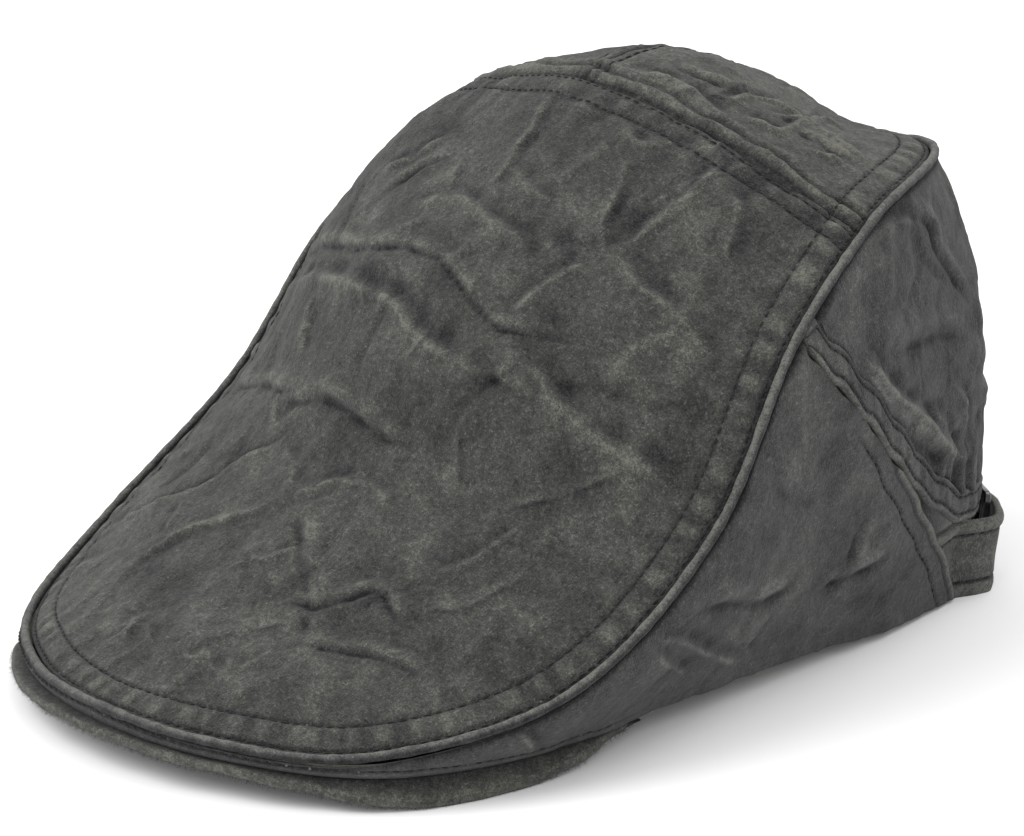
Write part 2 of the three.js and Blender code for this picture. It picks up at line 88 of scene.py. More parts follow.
COLUMNS = ("seam_across", "seam_along", "seam_up", "ridge_along", "ridge_up", "full",
           "rim_across", "rim_along", "rim_up", "belly")
SECTIONS = np.array([
    (0.00, 0.013, 0.105, 0.013, 0.105, 2.60, 0.000, 0.018, 0.070, 0.00),
    (0.38, 0.045, 0.091, 0.037, 0.120, 2.60, 0.385, 0.046, 0.062, 0.05),
    (0.74, 0.129, 0.091, 0.099, 0.166, 2.60, 0.735, 0.135, 0.051, 0.08),
    (0.98, 0.286, 0.167, 0.192, 0.250, 2.60, 0.860, 0.280, 0.042, 0.12),
    (1.00, 0.454, 0.362, 0.312, 0.414, 2.80, 0.850, 0.435, 0.045, 0.18),
    (0.945, 0.576, 0.632, 0.425, 0.696, 3.00, 0.800, 0.605, 0.036, 0.22),
    (0.84, 0.716, 0.783, 0.659, 0.992, 1.72, 0.740, 0.780, 0.014, 0.28),
    (0.53, 0.916, 0.814, 0.841, 0.942, 1.55, 0.574, 0.945, 0.004, 0.31),
    (0.00, 0.986, 0.771, 0.986, 0.771, 2.20, 0.000, 0.995, 0.000, 0.34),
])
SEAM_ALONG = SECTIONS[:, COLUMNS.index("seam_along")] * SEAM_LENGTH
cord_low, cord_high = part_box("top_seam_cord")
NOSE_SHIFT = (cord_low.y + cord_high.y) / 2 / MM - (SEAM_ALONG[0] + SEAM_ALONG[-1]) / 2
print("nose at", round(NOSE_SHIFT, 2), "mm")

# %% [markdown]
# ## Curves and surfaces
# The crown is a row of arches between the two sides of the top seam. The walls hang from the seam to
# the rim and bulge a little on the way. Each is a function of two shares, so one function serves for
# the panel itself, for a stitch row on it and for a crease across it.

# %% Section curves
def section(column, around):
    """A column of the table at any share of the way round, by a smooth closed curve."""
    values = SECTIONS[:, COLUMNS.index(column)]
    sign = -1 if column.endswith("across") else 1
    loop = np.concatenate([values, sign * values[-2:0:-1]])
    place = np.mod(around, 2) / 2 * len(loop)
    index = np.floor(place).astype(int)
    t = place - index
    a, b, c, d = (loop[(index + k) % len(loop)] for k in (-1, 0, 1, 2))
    squared = 2 * a - 5 * b + 4 * c - d
    cubed = 3 * b - a - 3 * c + d
    return 0.5 * (2 * b + (c - a) * t + squared * t**2 + cubed * t**3)


def edge(kind, around):
    across = section(kind + "_across", around) * SEAM_WIDTH / 2
    along = section(kind + "_along", around) * SEAM_LENGTH + NOSE_SHIFT
    return np.stack([across, along, section(kind + "_up", around) * CROWN_HEIGHT], axis=-1)


def unit(vectors):
    return vectors / np.maximum(np.linalg.norm(vectors, axis=-1, keepdims=True), 1e-9)


def outward(around):
    """The level direction away from the cap."""
    step = 0.001
    ends = [edge("seam", around + s) + edge("rim", around + s) for s in (step, -step)]
    run = ends[0] - ends[1]
    return unit(np.stack([run[..., 1], -run[..., 0], np.zeros_like(run[..., 0])], axis=-1))


print("the seam is", round(float(edge("seam", 0.5)[0])), "mm from the middle at half way round")

# %% [markdown]
# A wall point has a share of the way round and a drop, from 0 at the seam to 1 at the rim. Between the
# two the wall bulges outward in a sine, a little more below the middle, as cloth over a head does.

# %% Walls
def wall(around, drop):
    around, drop = np.broadcast_arrays(np.asarray(around, float), np.asarray(drop, float))
    bulge = np.sin(np.pi * np.maximum(drop, 0) ** BELLY_RISE) * section("belly", around) * WALL_BELLY
    seam = edge("seam", around)
    return seam + (edge("rim", around) - seam) * drop[..., None] + outward(around) * bulge[..., None]


def wall_normal(around, drop):
    step = 0.004
    level = wall(around + step, drop) - wall(around - step, drop)
    upward = wall(around, drop - step) - wall(around, drop + step)
    return unit(np.cross(level, upward))


print("the side wall bulges to", round(float(wall(0.75, 0.5)[0])), "mm from the middle")

# %% [markdown]
# The crown is an arch at every share of the way round, between the left and right halves of the seam.
# A soft crown is never a clean dome, so a short list of broad dents and swells is taken off its height.

# %% Crown
FOLDS = (
    # across, round, span across, span round, depth as a share of the height
    (-0.86, 0.550, 0.22, 0.070, 0.034),
    (-0.55, 0.440, 0.40, 0.035, 0.016),
    (-0.05, 0.500, 0.45, 0.030, 0.020),
    (0.30, 0.560, 0.40, 0.025, -0.014),
    (0.35, 0.360, 0.18, 0.080, 0.014),
    (0.10, 0.270, 0.30, 0.050, -0.012),
    (0.55, 0.655, 0.30, 0.030, 0.012),
    (-0.40, 0.620, 0.35, 0.030, -0.012),
    (-0.72, 0.700, 0.30, 0.110, -0.038),
    (-0.50, 0.840, 0.35, 0.060, 0.042),
    (0.60, 0.860, 0.30, 0.060, 0.038),
)


def crown(across, around, inset=EDGE_INSET):
    across, around = np.broadcast_arrays(np.asarray(across, float), np.asarray(around, float))
    end = edge("seam", around) - outward(around) * inset
    ridge_along = section("ridge_along", around) * SEAM_LENGTH + NOSE_SHIFT + inset * (1 - 2 * around)
    ridge_up = section("ridge_up", around) * CROWN_HEIGHT
    dent = sum(depth * np.exp(-((across - a) / sa) ** 2 - ((around - r) / sr) ** 2)
               for a, r, sa, sr, depth in FOLDS)
    side = np.abs(across)
    return np.stack([
        across * end[..., 0],
        ridge_along + (end[..., 1] - ridge_along) * side**2,
        end[..., 2] + (ridge_up - end[..., 2]) * (1 - side ** section("full", around))
        - dent * CROWN_HEIGHT * (1 - across**4),
    ], axis=-1)


print("crown top at", round(float(crown(0, 0.8)[2])), "mm")

# %% [markdown]
# Hems, edges and straps follow paths that are drawn by a few points each. One reader turns such a
# table into a smooth curve, and reads it in either direction.

# %% Paths from short tables
def read_table(table, value, back=False):
    """Reads the second column of a short table at a value of the first, turning softly at its rows."""
    rows = np.array(table)
    first, second = (rows[:, 1], rows[:, 0]) if back else (rows[:, 0], rows[:, 1])
    value = np.clip(value, first[0], first[-1])
    index = np.clip(np.searchsorted(first, value) - 1, 0, len(first) - 2)
    share = (value - first[index]) / (first[index + 1] - first[index])
    blend = (share + share * share * (3 - 2 * share)) / 2
    return second[index] + (second[index + 1] - second[index]) * blend


print("half way along a path from 0 to 10:", float(read_table(((0, 0), (1, 10)), np.array(0.5))))

# %% [markdown]
# ## Noise and nearness
# Cloth needs three kinds of unevenness. Slow swells come from adding a few random waves. Crumples are
# straight creases that meet in corners, which is what the borders between random cells look like. Seam
# puckers are waves along a seam. Each has its own seed, so the cap comes out the same every time.
# A bell and a smooth step then say where such a wave holds.

# %% Waves
def swell(points, size, seed, waves=28):
    """Smooth random ups and downs about 1 high, size millimetres across."""
    rng = np.random.default_rng(seed)
    ways = unit(rng.normal(size=(waves, 3)))
    pitch = 2 * np.pi / (size * rng.uniform(0.7, 1.5, waves))
    angle = points @ (ways * pitch[:, None]).T + rng.uniform(0, 2 * np.pi, waves)
    return np.sin(angle).sum(axis=-1) / math.sqrt(waves / 2)


def pucker(length, pitch, seed):
    """Uneven waves along a seam."""
    rng = np.random.default_rng(seed)
    total = 0
    for factor, weight in ((0.62, 0.35), (0.85, 0.6), (1.0, 0.9), (1.3, 0.7), (2.1, 0.5)):
        total = total + weight * np.sin(2 * np.pi * length / (pitch * factor) + rng.uniform(0, 6.28))
    return np.tanh(total * 0.9)


def bell(distance, width):
    return np.exp(-((distance / width) ** 2))


def step_up(value, low, high):
    share = np.clip((value - low) / (high - low), 0, 1)
    return share * share * (3 - 2 * share)


print("a swell along 5 cm:", swell(np.arange(0, 60, 10)[:, None] * [1.0, 0, 0], 20, 1).round(1))

# %% [markdown]
# A tree of random points answers which two lie nearest to a spot. Where both are equally far, the spot
# is on the border between two cells, and there the cloth gets a crease.

# %% Crumples
def crumple(points, cell, seed, width):
    """Straight creases between random cells: which way each rises, from -1 to 1."""
    rng = np.random.default_rng(seed)
    flat = points.reshape(-1, 3)
    low = flat.min(axis=0) - cell
    high = flat.max(axis=0) + cell
    count = int(np.prod((high - low) / cell)) + 8
    tree = KDTree(count)
    for index, seedling in enumerate(rng.uniform(low, high, (count, 3))):
        tree.insert(seedling, index)
    tree.balance()
    wobble = np.stack([swell(flat, cell * 1.2, seed + k, 12) for k in (1, 2, 3)], axis=-1)
    warped = flat + wobble * cell * 0.07
    gap = np.empty(len(flat))
    for index, point in enumerate(warped):
        near, far = tree.find_n(point, 2)
        gap[index] = far[2] - near[2]
    rise = np.clip(swell(flat, cell * 1.6, seed + 7) * 1.2, -1, 1)
    return (bell(gap, width) * rise).reshape(points.shape[:-1])


square = np.array([[[0.0, 0, 0], [9, 0, 0]], [[0, 9, 0], [9, 9, 0]]])
print("crumples at four corners:", crumple(square, 12, 1, 2).round(1).tolist())

# %% [markdown]
# Seams, stitch grooves and creases are all lines on the cloth. These helpers space the points of a line
# evenly, ease a curve through a few places, and tell how far every point of a grid lies from a line and
# on which side of it.

# %% Lines on the cloth
def resample(line, pitch):
    """Evenly spaced points along a line of points, and their distance along it."""
    steps = np.linalg.norm(np.diff(line, axis=0), axis=1)
    along = np.concatenate([[0], np.cumsum(steps)])
    count = max(int(along[-1] / pitch), 2)
    places = np.linspace(0, along[-1], count + 1)
    return np.stack([np.interp(places, along, line[:, k]) for k in range(3)], axis=-1), places


def near_line(points, normals, line, reach=1e9):
    """Distance of each point from a line, with its side as the sign, the place along it and its length."""
    path, along = resample(line, 0.5)
    ways = unit(np.gradient(path, axis=0))
    flat = points.reshape(-1, 3)
    flat_normals = normals.reshape(-1, 3)
    distance = np.full(len(flat), 1e6)
    place = np.zeros(len(flat))
    close = np.all((flat > path.min(axis=0) - reach) & (flat < path.max(axis=0) + reach), axis=1)
    chosen = np.nonzero(close)[0]
    tree = KDTree(len(path))
    for index, point in enumerate(path):
        tree.insert(point, index)
    tree.balance()
    found = [tree.find(point)[1:] for point in flat[chosen].tolist()]
    if found:
        nearest = np.array([hit[0] for hit in found])
        away = np.array([hit[1] for hit in found])
        left = np.cross(flat_normals[chosen], ways[nearest])
        side = np.sum(left * (flat[chosen] - path[nearest]), axis=-1)
        distance[chosen] = np.where(side > 0, away, -away)
        place[chosen] = along[nearest]
    return distance.reshape(points.shape[:-1]), place.reshape(points.shape[:-1]), along[-1]


def smooth_path(points, count=30):
    """A curve through a few points, evenly eased."""
    points = np.asarray(points, float)
    padded = np.concatenate([[2 * points[0] - points[1]], points, [2 * points[-1] - points[-2]]])
    result = []
    for k in range(len(points) - 1):
        a, b, c, d = padded[k:k + 4]
        for t in np.linspace(0, 1, count, endpoint=False):
            squared = 2 * a - 5 * b + 4 * c - d
            cubed = 3 * b - a - 3 * c + d
            result.append(0.5 * (2 * b + (c - a) * t + squared * t**2 + cubed * t**3))
    result.append(points[-1])
    return np.array(result)


print("an eased curve through 3 places has", len(smooth_path(((0, 0), (1, 1), (2, 0)))), "points")

# %% [markdown]
# ## From a grid of points to a piece of cloth
# Beside its shape each mesh carries one number per corner for wear and painted shading: above 0 where
# rubbing has paled the dye or light is painted on, below 0 where shade is painted into folds, grooves
# and under the cord. The material reads it, so the pale lines sit exactly on the folds. A soft limit
# keeps the palest places from turning into flat patches.

# %% Grids and objects
PALE_LIMIT = 1.35


def grid_normals(points, away_from):
    rows = np.concatenate([points[:1], points, points[-1:]])
    columns = np.concatenate([points[:, :1], points, points[:, -1:]], axis=1)
    normals = unit(np.cross(columns[:, 2:] - columns[:, :-2], rows[2:] - rows[:-2]))
    outer = np.sum(normals * (points - away_from), axis=-1) > 0
    return np.where(outer[..., None], normals, -normals)


def grid_quads(index):
    return np.stack([index[:-1, :-1], index[:-1, 1:], index[1:, 1:], index[1:, :-1]], axis=-1).reshape(-1, 4)


def make_object(name, corners, faces, wear, materials, face_materials=None):
    mesh = bpy.data.meshes.new(name)
    mesh.from_pydata((np.asarray(corners) * MM).tolist(), [], faces)
    for material in materials:
        mesh.materials.append(material)
    if face_materials is not None:
        mesh.polygons.foreach_set("material_index", np.asarray(face_materials, np.int32))
    attribute = mesh.attributes.new("wear", "FLOAT", "POINT")
    wear = np.asarray(wear, float)
    wear = np.where(wear > 0, PALE_LIMIT * np.tanh(wear / PALE_LIMIT), wear)
    attribute.data.foreach_set("value", wear.astype(np.float32))
    mesh.shade_smooth()
    mesh.update()
    piece = bpy.data.objects.new(name, mesh)
    bpy.context.scene.collection.objects.link(piece)
    return piece


print("a grid of 3 by 3 points has", len(grid_quads(np.arange(9).reshape(3, 3))), "faces")

# %% [markdown]
# A panel is two grids, the face and the lining side, joined by a rounded edge of three rings. The
# lining hardly shows, so it keeps only every second point, and a strip of triangles joins it to the
# last ring. The edge of a real panel is where it is rubbed most, so the rings get a wear of their own.

# %% Sewing a panel
ROLL = 0.6
EDGE_SHARE = 0.3


def sew(name, face, lining, wear, materials, edge_wear=0.5):
    """A closed panel from two matching grids, with a rounded edge."""
    rows, columns = face.shape[:2]
    ring = [(0, j) for j in range(columns)] + [(i, columns - 1) for i in range(1, rows)]
    ring += [(rows - 1, j) for j in range(columns - 2, -1, -1)] + [(i, 0) for i in range(rows - 2, 0, -1)]
    ring = np.array(ring)
    inner = np.stack([np.clip(ring[:, 0], 1, rows - 2), np.clip(ring[:, 1], 1, columns - 2)], axis=-1)
    border = face[ring[:, 0], ring[:, 1]]
    under = lining[ring[:, 0], ring[:, 1]]
    away = unit(border - face[inner[:, 0], inner[:, 1]])
    middle = (border + under) / 2
    half = np.linalg.norm(border - under, axis=-1, keepdims=True) / 2
    turns = (0.25, 0.5, 0.75)
    rings = [middle + (border - middle) * math.cos(math.pi * t)
             + away * half * ROLL * math.sin(math.pi * t) for t in turns]
    coarse = lining[::2, ::2]
    corners = np.concatenate([face.reshape(-1, 3), coarse.reshape(-1, 3)] + rings)
    fine_index = np.arange(rows * columns).reshape(rows, columns)
    coarse_index = rows * columns + np.arange(coarse[..., 0].size).reshape(coarse.shape[:2])
    first_ring = coarse_index[-1, -1] + 1
    loops = [fine_index[ring[:, 0], ring[:, 1]]]
    loops += [first_ring + k * len(ring) + np.arange(len(ring)) for k in range(len(turns))]
    last = loops[-1]
    foot = coarse_index[ring[::2, 0] // 2, ring[::2, 1] // 2]
    strips = [np.stack([np.roll(a, -1), a, b, np.roll(b, -1)], axis=-1) for a, b in zip(loops, loops[1:])]
    hems = [(last[1::2], last[::2], foot), (last[1::2], foot, np.roll(foot, -1)),
            (np.roll(last[::2], -1), last[1::2], np.roll(foot, -1))]
    quads = grid_quads(fine_index)
    inner_quads = grid_quads(coarse_index)[:, ::-1]
    faces = [quads, inner_quads] + strips + [np.stack(hem, axis=-1) for hem in hems]
    upward = np.cross(face[0, 1] - face[0, 0], face[1, 0] - face[0, 0])
    if np.sum(upward * (face[0, 0] - lining[0, 0])) < 0:
        faces = [part[:, ::-1] for part in faces]
    faces = [corner_list for part in faces for corner_list in part.tolist()]
    kinds = np.zeros(len(faces), int)
    kinds[len(quads):len(quads) + len(inner_quads)] = 1
    border_wear_and_shading = wear[ring[:, 0], ring[:, 1]] * EDGE_SHARE + edge_wear
    all_wear_and_shading = np.concatenate([wear.ravel(), np.zeros(coarse_index.size)] + [border_wear_and_shading] * len(turns))
    return make_object(name, corners, faces, all_wear_and_shading, materials, kinds)


print("an edge rolls out by", ROLL, "of half the thickness")

# %% [markdown]
# The cord of the top seam is a ring of circles, swept along a closed line.

# %% A closed cord
def tube(name, line, ups, radius, sides, wear, materials):
    """A round cord along a closed line, with its own radius, and its wear and painted shading, at each step.
    """
    steps = len(line)
    ways = unit(np.roll(line, -1, axis=0) - np.roll(line, 1, axis=0))
    across = unit(np.cross(ways, ups))
    lift = np.cross(across, ways)
    turns = np.arange(sides) / sides * 2 * np.pi
    ring = across[:, None] * np.cos(turns)[None, :, None] + lift[:, None] * np.sin(turns)[None, :, None]
    corners = (line[:, None] + ring * np.asarray(radius).reshape(-1, 1, 1)).reshape(-1, 3)
    faces = []
    for i in range(steps):
        for k in range(sides):
            j = (i + 1) % steps
            m = (k + 1) % sides
            faces.append((i * sides + k, i * sides + m, j * sides + m, j * sides + k))
    return make_object(name, corners, faces, np.broadcast_to(wear, (steps, sides)).ravel(), materials)


# %% [markdown]
# A finished piece rides on the cap's one body and stands for the plain solids that it dresses. The
# edges that get fuzz later are kept by name.

# %% Dressing a piece
PIECES = []
EDGES = {}


def dress(piece, slot, *nodes):
    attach(piece, "root")
    if nodes:
        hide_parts(*nodes)
    PIECES.append(piece)
    triangles = sum(len(face.vertices) - 2 for face in piece.data.polygons)
    print(piece.name, triangles, "triangles")
    return piece


# %% [markdown]
# ## Shader maths that reads like Python
# A material here is mostly sums and products of masks. Wrapping a socket in a small class lets those be
# written as expressions, each of which adds its Math nodes. Every other node comes from one method.

# %% Sockets with operators
class Paint:
    """A material under construction."""

    def __init__(self, name):
        self.material = bpy.data.materials.new(name)
        self.material.use_nodes = True
        self.tree = self.material.node_tree
        self.shader = self.tree.nodes["Principled BSDF"]

    def node(self, kind, settings=None, inputs=None, output=0):
        node = self.tree.nodes.new(kind)
        for key, value in (settings or {}).items():
            if key == "stops":
                ramp = node.color_ramp
                while len(ramp.elements) < len(value):
                    ramp.elements.new(0.5)
                for element, (place, colour) in zip(ramp.elements, value):
                    element.position = place
                    element.color = (*colour, 1)
            else:
                setattr(node, key, value)
        for key, value in (inputs or {}).items():
            if isinstance(value, Shade):
                self.tree.links.new(value.socket, node.inputs[key])
            else:
                node.inputs[key].default_value = value
        return Shade(self, node.outputs[output])

    def set(self, **values):
        for key, value in values.items():
            self.shader.inputs[key.replace("_", " ")].default_value = value

    def feed(self, socket, value):
        self.tree.links.new(value.socket, self.shader.inputs[socket])


class Shade:
    """One output socket, with the arithmetic that the materials below use."""

    def __init__(self, paint, socket):
        self.paint = paint
        self.socket = socket

    def math(self, operation, first, second):
        return self.paint.node("ShaderNodeMath", {"operation": operation}, {0: first, 1: second})

    def __add__(self, other):
        return self.math("ADD", self, other)

    def __radd__(self, other):
        return self.math("ADD", other, self)

    def __sub__(self, other):
        return self.math("SUBTRACT", self, other)

    def __rsub__(self, other):
        return self.math("SUBTRACT", other, self)

    def __mul__(self, other):
        return self.math("MULTIPLY", self, other)

    def __rmul__(self, other):
        return self.math("MULTIPLY", other, self)

    def clamp(self):
        return self.math("MINIMUM", self.math("MAXIMUM", self, 0.0), 1.0)


print("a Shade adds, subtracts, multiplies and clamps")

# %% [markdown]
# ## Waxed cotton
# The cloth is a dense dark olive cotton with a brushed, washed face. Up close it is a field of short
# fibres, paler where it was rubbed, and its folds are painted darker and bluish grey as shade. Noises of a
# few sizes give that mottling: clouds a few centimetres across, blotches, tufts, strands of fibre in three
# directions, and a fine grain. The number for wear and painted shading at each corner then slides the
# colour along a ramp from dark to pale.

# %% The recipe for cloth
CLOUD_SIZE = 24
BLOTCH_SIZE = 4.2
TUFT_SIZE = 1.3
STRAND_SIZE = 0.60
STRAND_WAYS = ((0.35, 1.6, 1.3), (1.6, 0.35, 1.2), (1.1, 1.5, 0.35))
GRAIN_SIZE = 0.36
WEAR_AND_SHADING_GAIN = 0.30


def cloth_material(name, stops, shift=0.0, contrast=1.0, fibre=1.0):
    paint = Paint(name)
    where = paint.node("ShaderNodeTexCoord", output="Object")

    def noise(size_mm, detail=2.0, roughness=0.5, stretch=(1, 1, 1)):
        scale = tuple(s / (size_mm * MM) for s in stretch)
        place = paint.node("ShaderNodeVectorMath", {"operation": "MULTIPLY"}, {0: where, 1: scale})
        settings = {"Vector": place, "Scale": 1.0, "Detail": detail, "Roughness": roughness}
        return paint.node("ShaderNodeTexNoise", None, settings) - 0.5

    def above(value, edge, gain):
        return ((value - edge) * gain).clamp()

    wear = paint.node("ShaderNodeAttribute", {"attribute_name": "wear"}, output="Fac")
    clouds = noise(CLOUD_SIZE, 2.0, 0.5)
    blotches = noise(BLOTCH_SIZE, 2.0, 0.6)
    tufts = noise(TUFT_SIZE, 2.0, 0.6)
    strands = [noise(STRAND_SIZE, 1.0, 0.5, stretch) for stretch in STRAND_WAYS]
    pale = above(strands[0], 0.09, 4.0) + above(strands[1], 0.09, 4.0) + above(strands[2], 0.11, 4.0)
    dark = above(0 - strands[0], 0.10, 4.0) + above(0 - strands[1], 0.10, 4.0)
    grain = noise(GRAIN_SIZE, 1.0, 0.5)
    tone = (0.5 + shift + clouds * (0.32 * contrast) + blotches * (0.37 * contrast) + tufts * (0.75 * fibre)
            + pale * (0.34 * fibre) - dark * (0.24 * fibre) + grain * (0.72 * fibre) + wear * WEAR_AND_SHADING_GAIN)
    colour = paint.node("ShaderNodeValToRGB", {"stops": stops}, {0: tone.clamp()})
    paint.feed("Base Color", colour)
    paint.feed("Roughness", (0.88 - wear * 0.06 - clouds * 0.12).clamp())
    height = tufts * 1.0 + pale * 0.5 - dark * 0.45 + grain * 0.8 + blotches * 0.6
    bump = paint.node("ShaderNodeBump", None, {"Strength": 0.8, "Distance": 0.4 * MM, "Height": height})
    paint.feed("Normal", bump)
    paint.set(Sheen_Weight=0.07, Sheen_Roughness=0.6, Specular_IOR_Level=0.18)
    return paint.material


print("one recipe, with", 4 + len(STRAND_WAYS), "noises")

# %% [markdown]
# The crown has faded towards olive, while the walls and the strap stayed a more neutral grey, so there
# are two ramps. The inner side is khaki, made far paler than the cloth as painted light, so that the
# shaded inside of the cap seen through the gaps at the back reads as lit. The thread is nearly black.

# %% Colours of cloth and thread
WAXED_STOPS = (
    (0.00, (0.005, 0.005, 0.0055)),
    (0.22, (0.016, 0.017, 0.0165)),
    (0.50, (0.0355, 0.036, 0.0332)),
    (0.75, (0.060, 0.0605, 0.0540)),
    (1.00, (0.118, 0.117, 0.099)),
)
WALL_STOPS = (
    (0.00, (0.005, 0.005, 0.0055)),
    (0.22, (0.016, 0.017, 0.017)),
    (0.50, (0.0345, 0.0355, 0.0345)),
    (0.75, (0.0595, 0.061, 0.0575)),
    (1.00, (0.120, 0.120, 0.108)),
)
# painted light: the lining is made pale so that the shaded inside of the cap reads as lit
LINING_AND_LIGHT_STOPS = (
    (0.00, (0.200, 0.195, 0.150)),
    (0.50, (0.320, 0.312, 0.245)),
    (1.00, (0.440, 0.430, 0.340)),
)
THREAD_STOPS = (
    (0.00, (0.006, 0.006, 0.007)),
    (0.50, (0.014, 0.014, 0.015)),
    (0.80, (0.110, 0.108, 0.100)),
    (1.00, (0.300, 0.300, 0.290)),
)
crown_cotton = cloth_material("waxed cotton of the crown", WAXED_STOPS, 0.0, 1.30, 1.10)
waxed_cotton = cloth_material("waxed cotton", WALL_STOPS, 0.0, 1.10, 0.85)
lining_side = cloth_material("lining with painted light", LINING_AND_LIGHT_STOPS, 0.0, 0.6, 0.6)
thread_black = cloth_material("dark thread", THREAD_STOPS, -0.1, 0.2, 0.2)
CLOTH_FACES = [waxed_cotton, lining_side]
CROWN_FACES = [crown_cotton, lining_side]
print("cloths:", [material.name for material in (crown_cotton, waxed_cotton, lining_side, thread_black)])

# %% [markdown]
# The slider is moulded plastic with a high gloss, dulled a little by fine scratches.

# %% Plastic
def plastic_material():
    paint = Paint("glossy black plastic")
    where = paint.node("ShaderNodeTexCoord", output="Object")
    scratches = paint.node("ShaderNodeTexNoise", None, {"Vector": where, "Scale": 900.0, "Detail": 3.0})
    paint.feed("Roughness", (0.14 + scratches * 0.12).clamp())
    bump = paint.node("ShaderNodeBump", None, {"Strength": 0.05, "Distance": 0.1 * MM, "Height": scratches})
    paint.feed("Normal", bump)
    paint.set(Base_Color=(0.006, 0.006, 0.007, 1), Coat_Weight=0.3, Coat_Roughness=0.08)
    return paint.material


black_plastic = plastic_material()
print("plastic:", black_plastic.name)

# %% [markdown]
# ## Seams as relief
# The top seam is turned and stitched twice: once right beside the cord and once 7 mm in. Shrinking
# thread pulls the band between the rows into little pillows. So a seam is written as relief, and as wear
# with painted shade, that depend on how far inside it a point is, and on how far along it: shade is
# painted into the stitch grooves and along the strip right beside the cord.

# %% The band inside the top seam
SEAM_ROWS = (2.5, 8.9)
SEAM_LINE = edge("seam", np.linspace(-1, 1, 2401))


def seam_band(inside, along, seed=3):
    """Relief, and wear with painted shade, of the double-stitched band inside the top seam."""
    near, far = SEAM_ROWS
    wave = pucker(along, 7.6, seed)
    drag = pucker(along, 11.0, seed + 1)
    fine = pucker(along, 2.9, seed + 2)
    pillow = bell(inside - (near + far) / 2, (far - near) * 0.40)
    past = bell(np.maximum(inside - far, 0), 7.0) * step_up(inside, far, far + 1.5)
    grooves = bell(inside - near, 0.50) + bell(inside - far, 0.48)
    relief = pillow * (0.24 + 0.36 * wave) - grooves * (0.48 + 0.12 * fine) + past * drag * 0.3
    # the pillows are paler where they rise, with rubbing, and painted darker in their dips as shade; painted
    # shade in both stitch grooves
    wear = pillow * (wave * 0.74 + 0.20) - grooves * (0.85 + 0.3 * fine) + past * drag * 0.45
    # painted shade: a dark strip right beside the cord, where the cord shades the panel
    wear = wear - bell(inside - 1.2, 0.7) * 2.0
    return relief, wear


print("seam line of", len(SEAM_LINE), "points")

# %% [markdown]
# The cross seam is a felled seam: two rows of stitches in front of the fold, and drag ridges behind it.

# %% The cross seam
CROSS_ROWS = (-6.6, -1.2)


def cross_band(behind, along, seed=11):
    """Relief, and wear with painted shade, beside the cross seam; behind is negative on the front panel."""
    front, back = CROSS_ROWS
    wave = pucker(along, 9.0, seed)
    drag = pucker(along, 21.0, seed + 1)
    grooves = bell(behind - front, 0.52) + bell(behind - back, 0.5)
    pillow = bell(behind - (front + back) / 2, 2.0)
    before = bell(np.minimum(behind - front, 0), 8.0) * step_up(-behind, -front, 1.5 - front)
    ridge_one = bell(behind - 3.2 - 0.5 * drag, 1.15)
    ridge_two = bell(behind - 7.2 - 0.9 * drag, 1.25) * (0.65 + 0.3 * drag)
    valley = bell(behind - 0.6, 0.8) + bell(behind - 5.2 - 0.7 * drag, 0.9) * 0.9
    relief = pillow * (0.2 + 0.3 * wave) - grooves * 0.6 + before * wave * 0.3
    relief = relief + ridge_one * 1.15 + ridge_two * 0.85 - valley * 0.5
    # painted shade in the stitch grooves and in the valleys between the drag ridges; the ridges are paler
    # with rubbing
    wear = pillow * (wave * 0.7 - 0.35) - grooves * 1.1 + before * wave * 0.4
    wear = wear + ridge_one * (1.1 + 0.3 * wave) + ridge_two * 0.9 - valley * 1.5
    return relief, wear


print("relief on the first drag ridge:", round(float(cross_band(3.2, 0.0)[0]), 2), "mm")
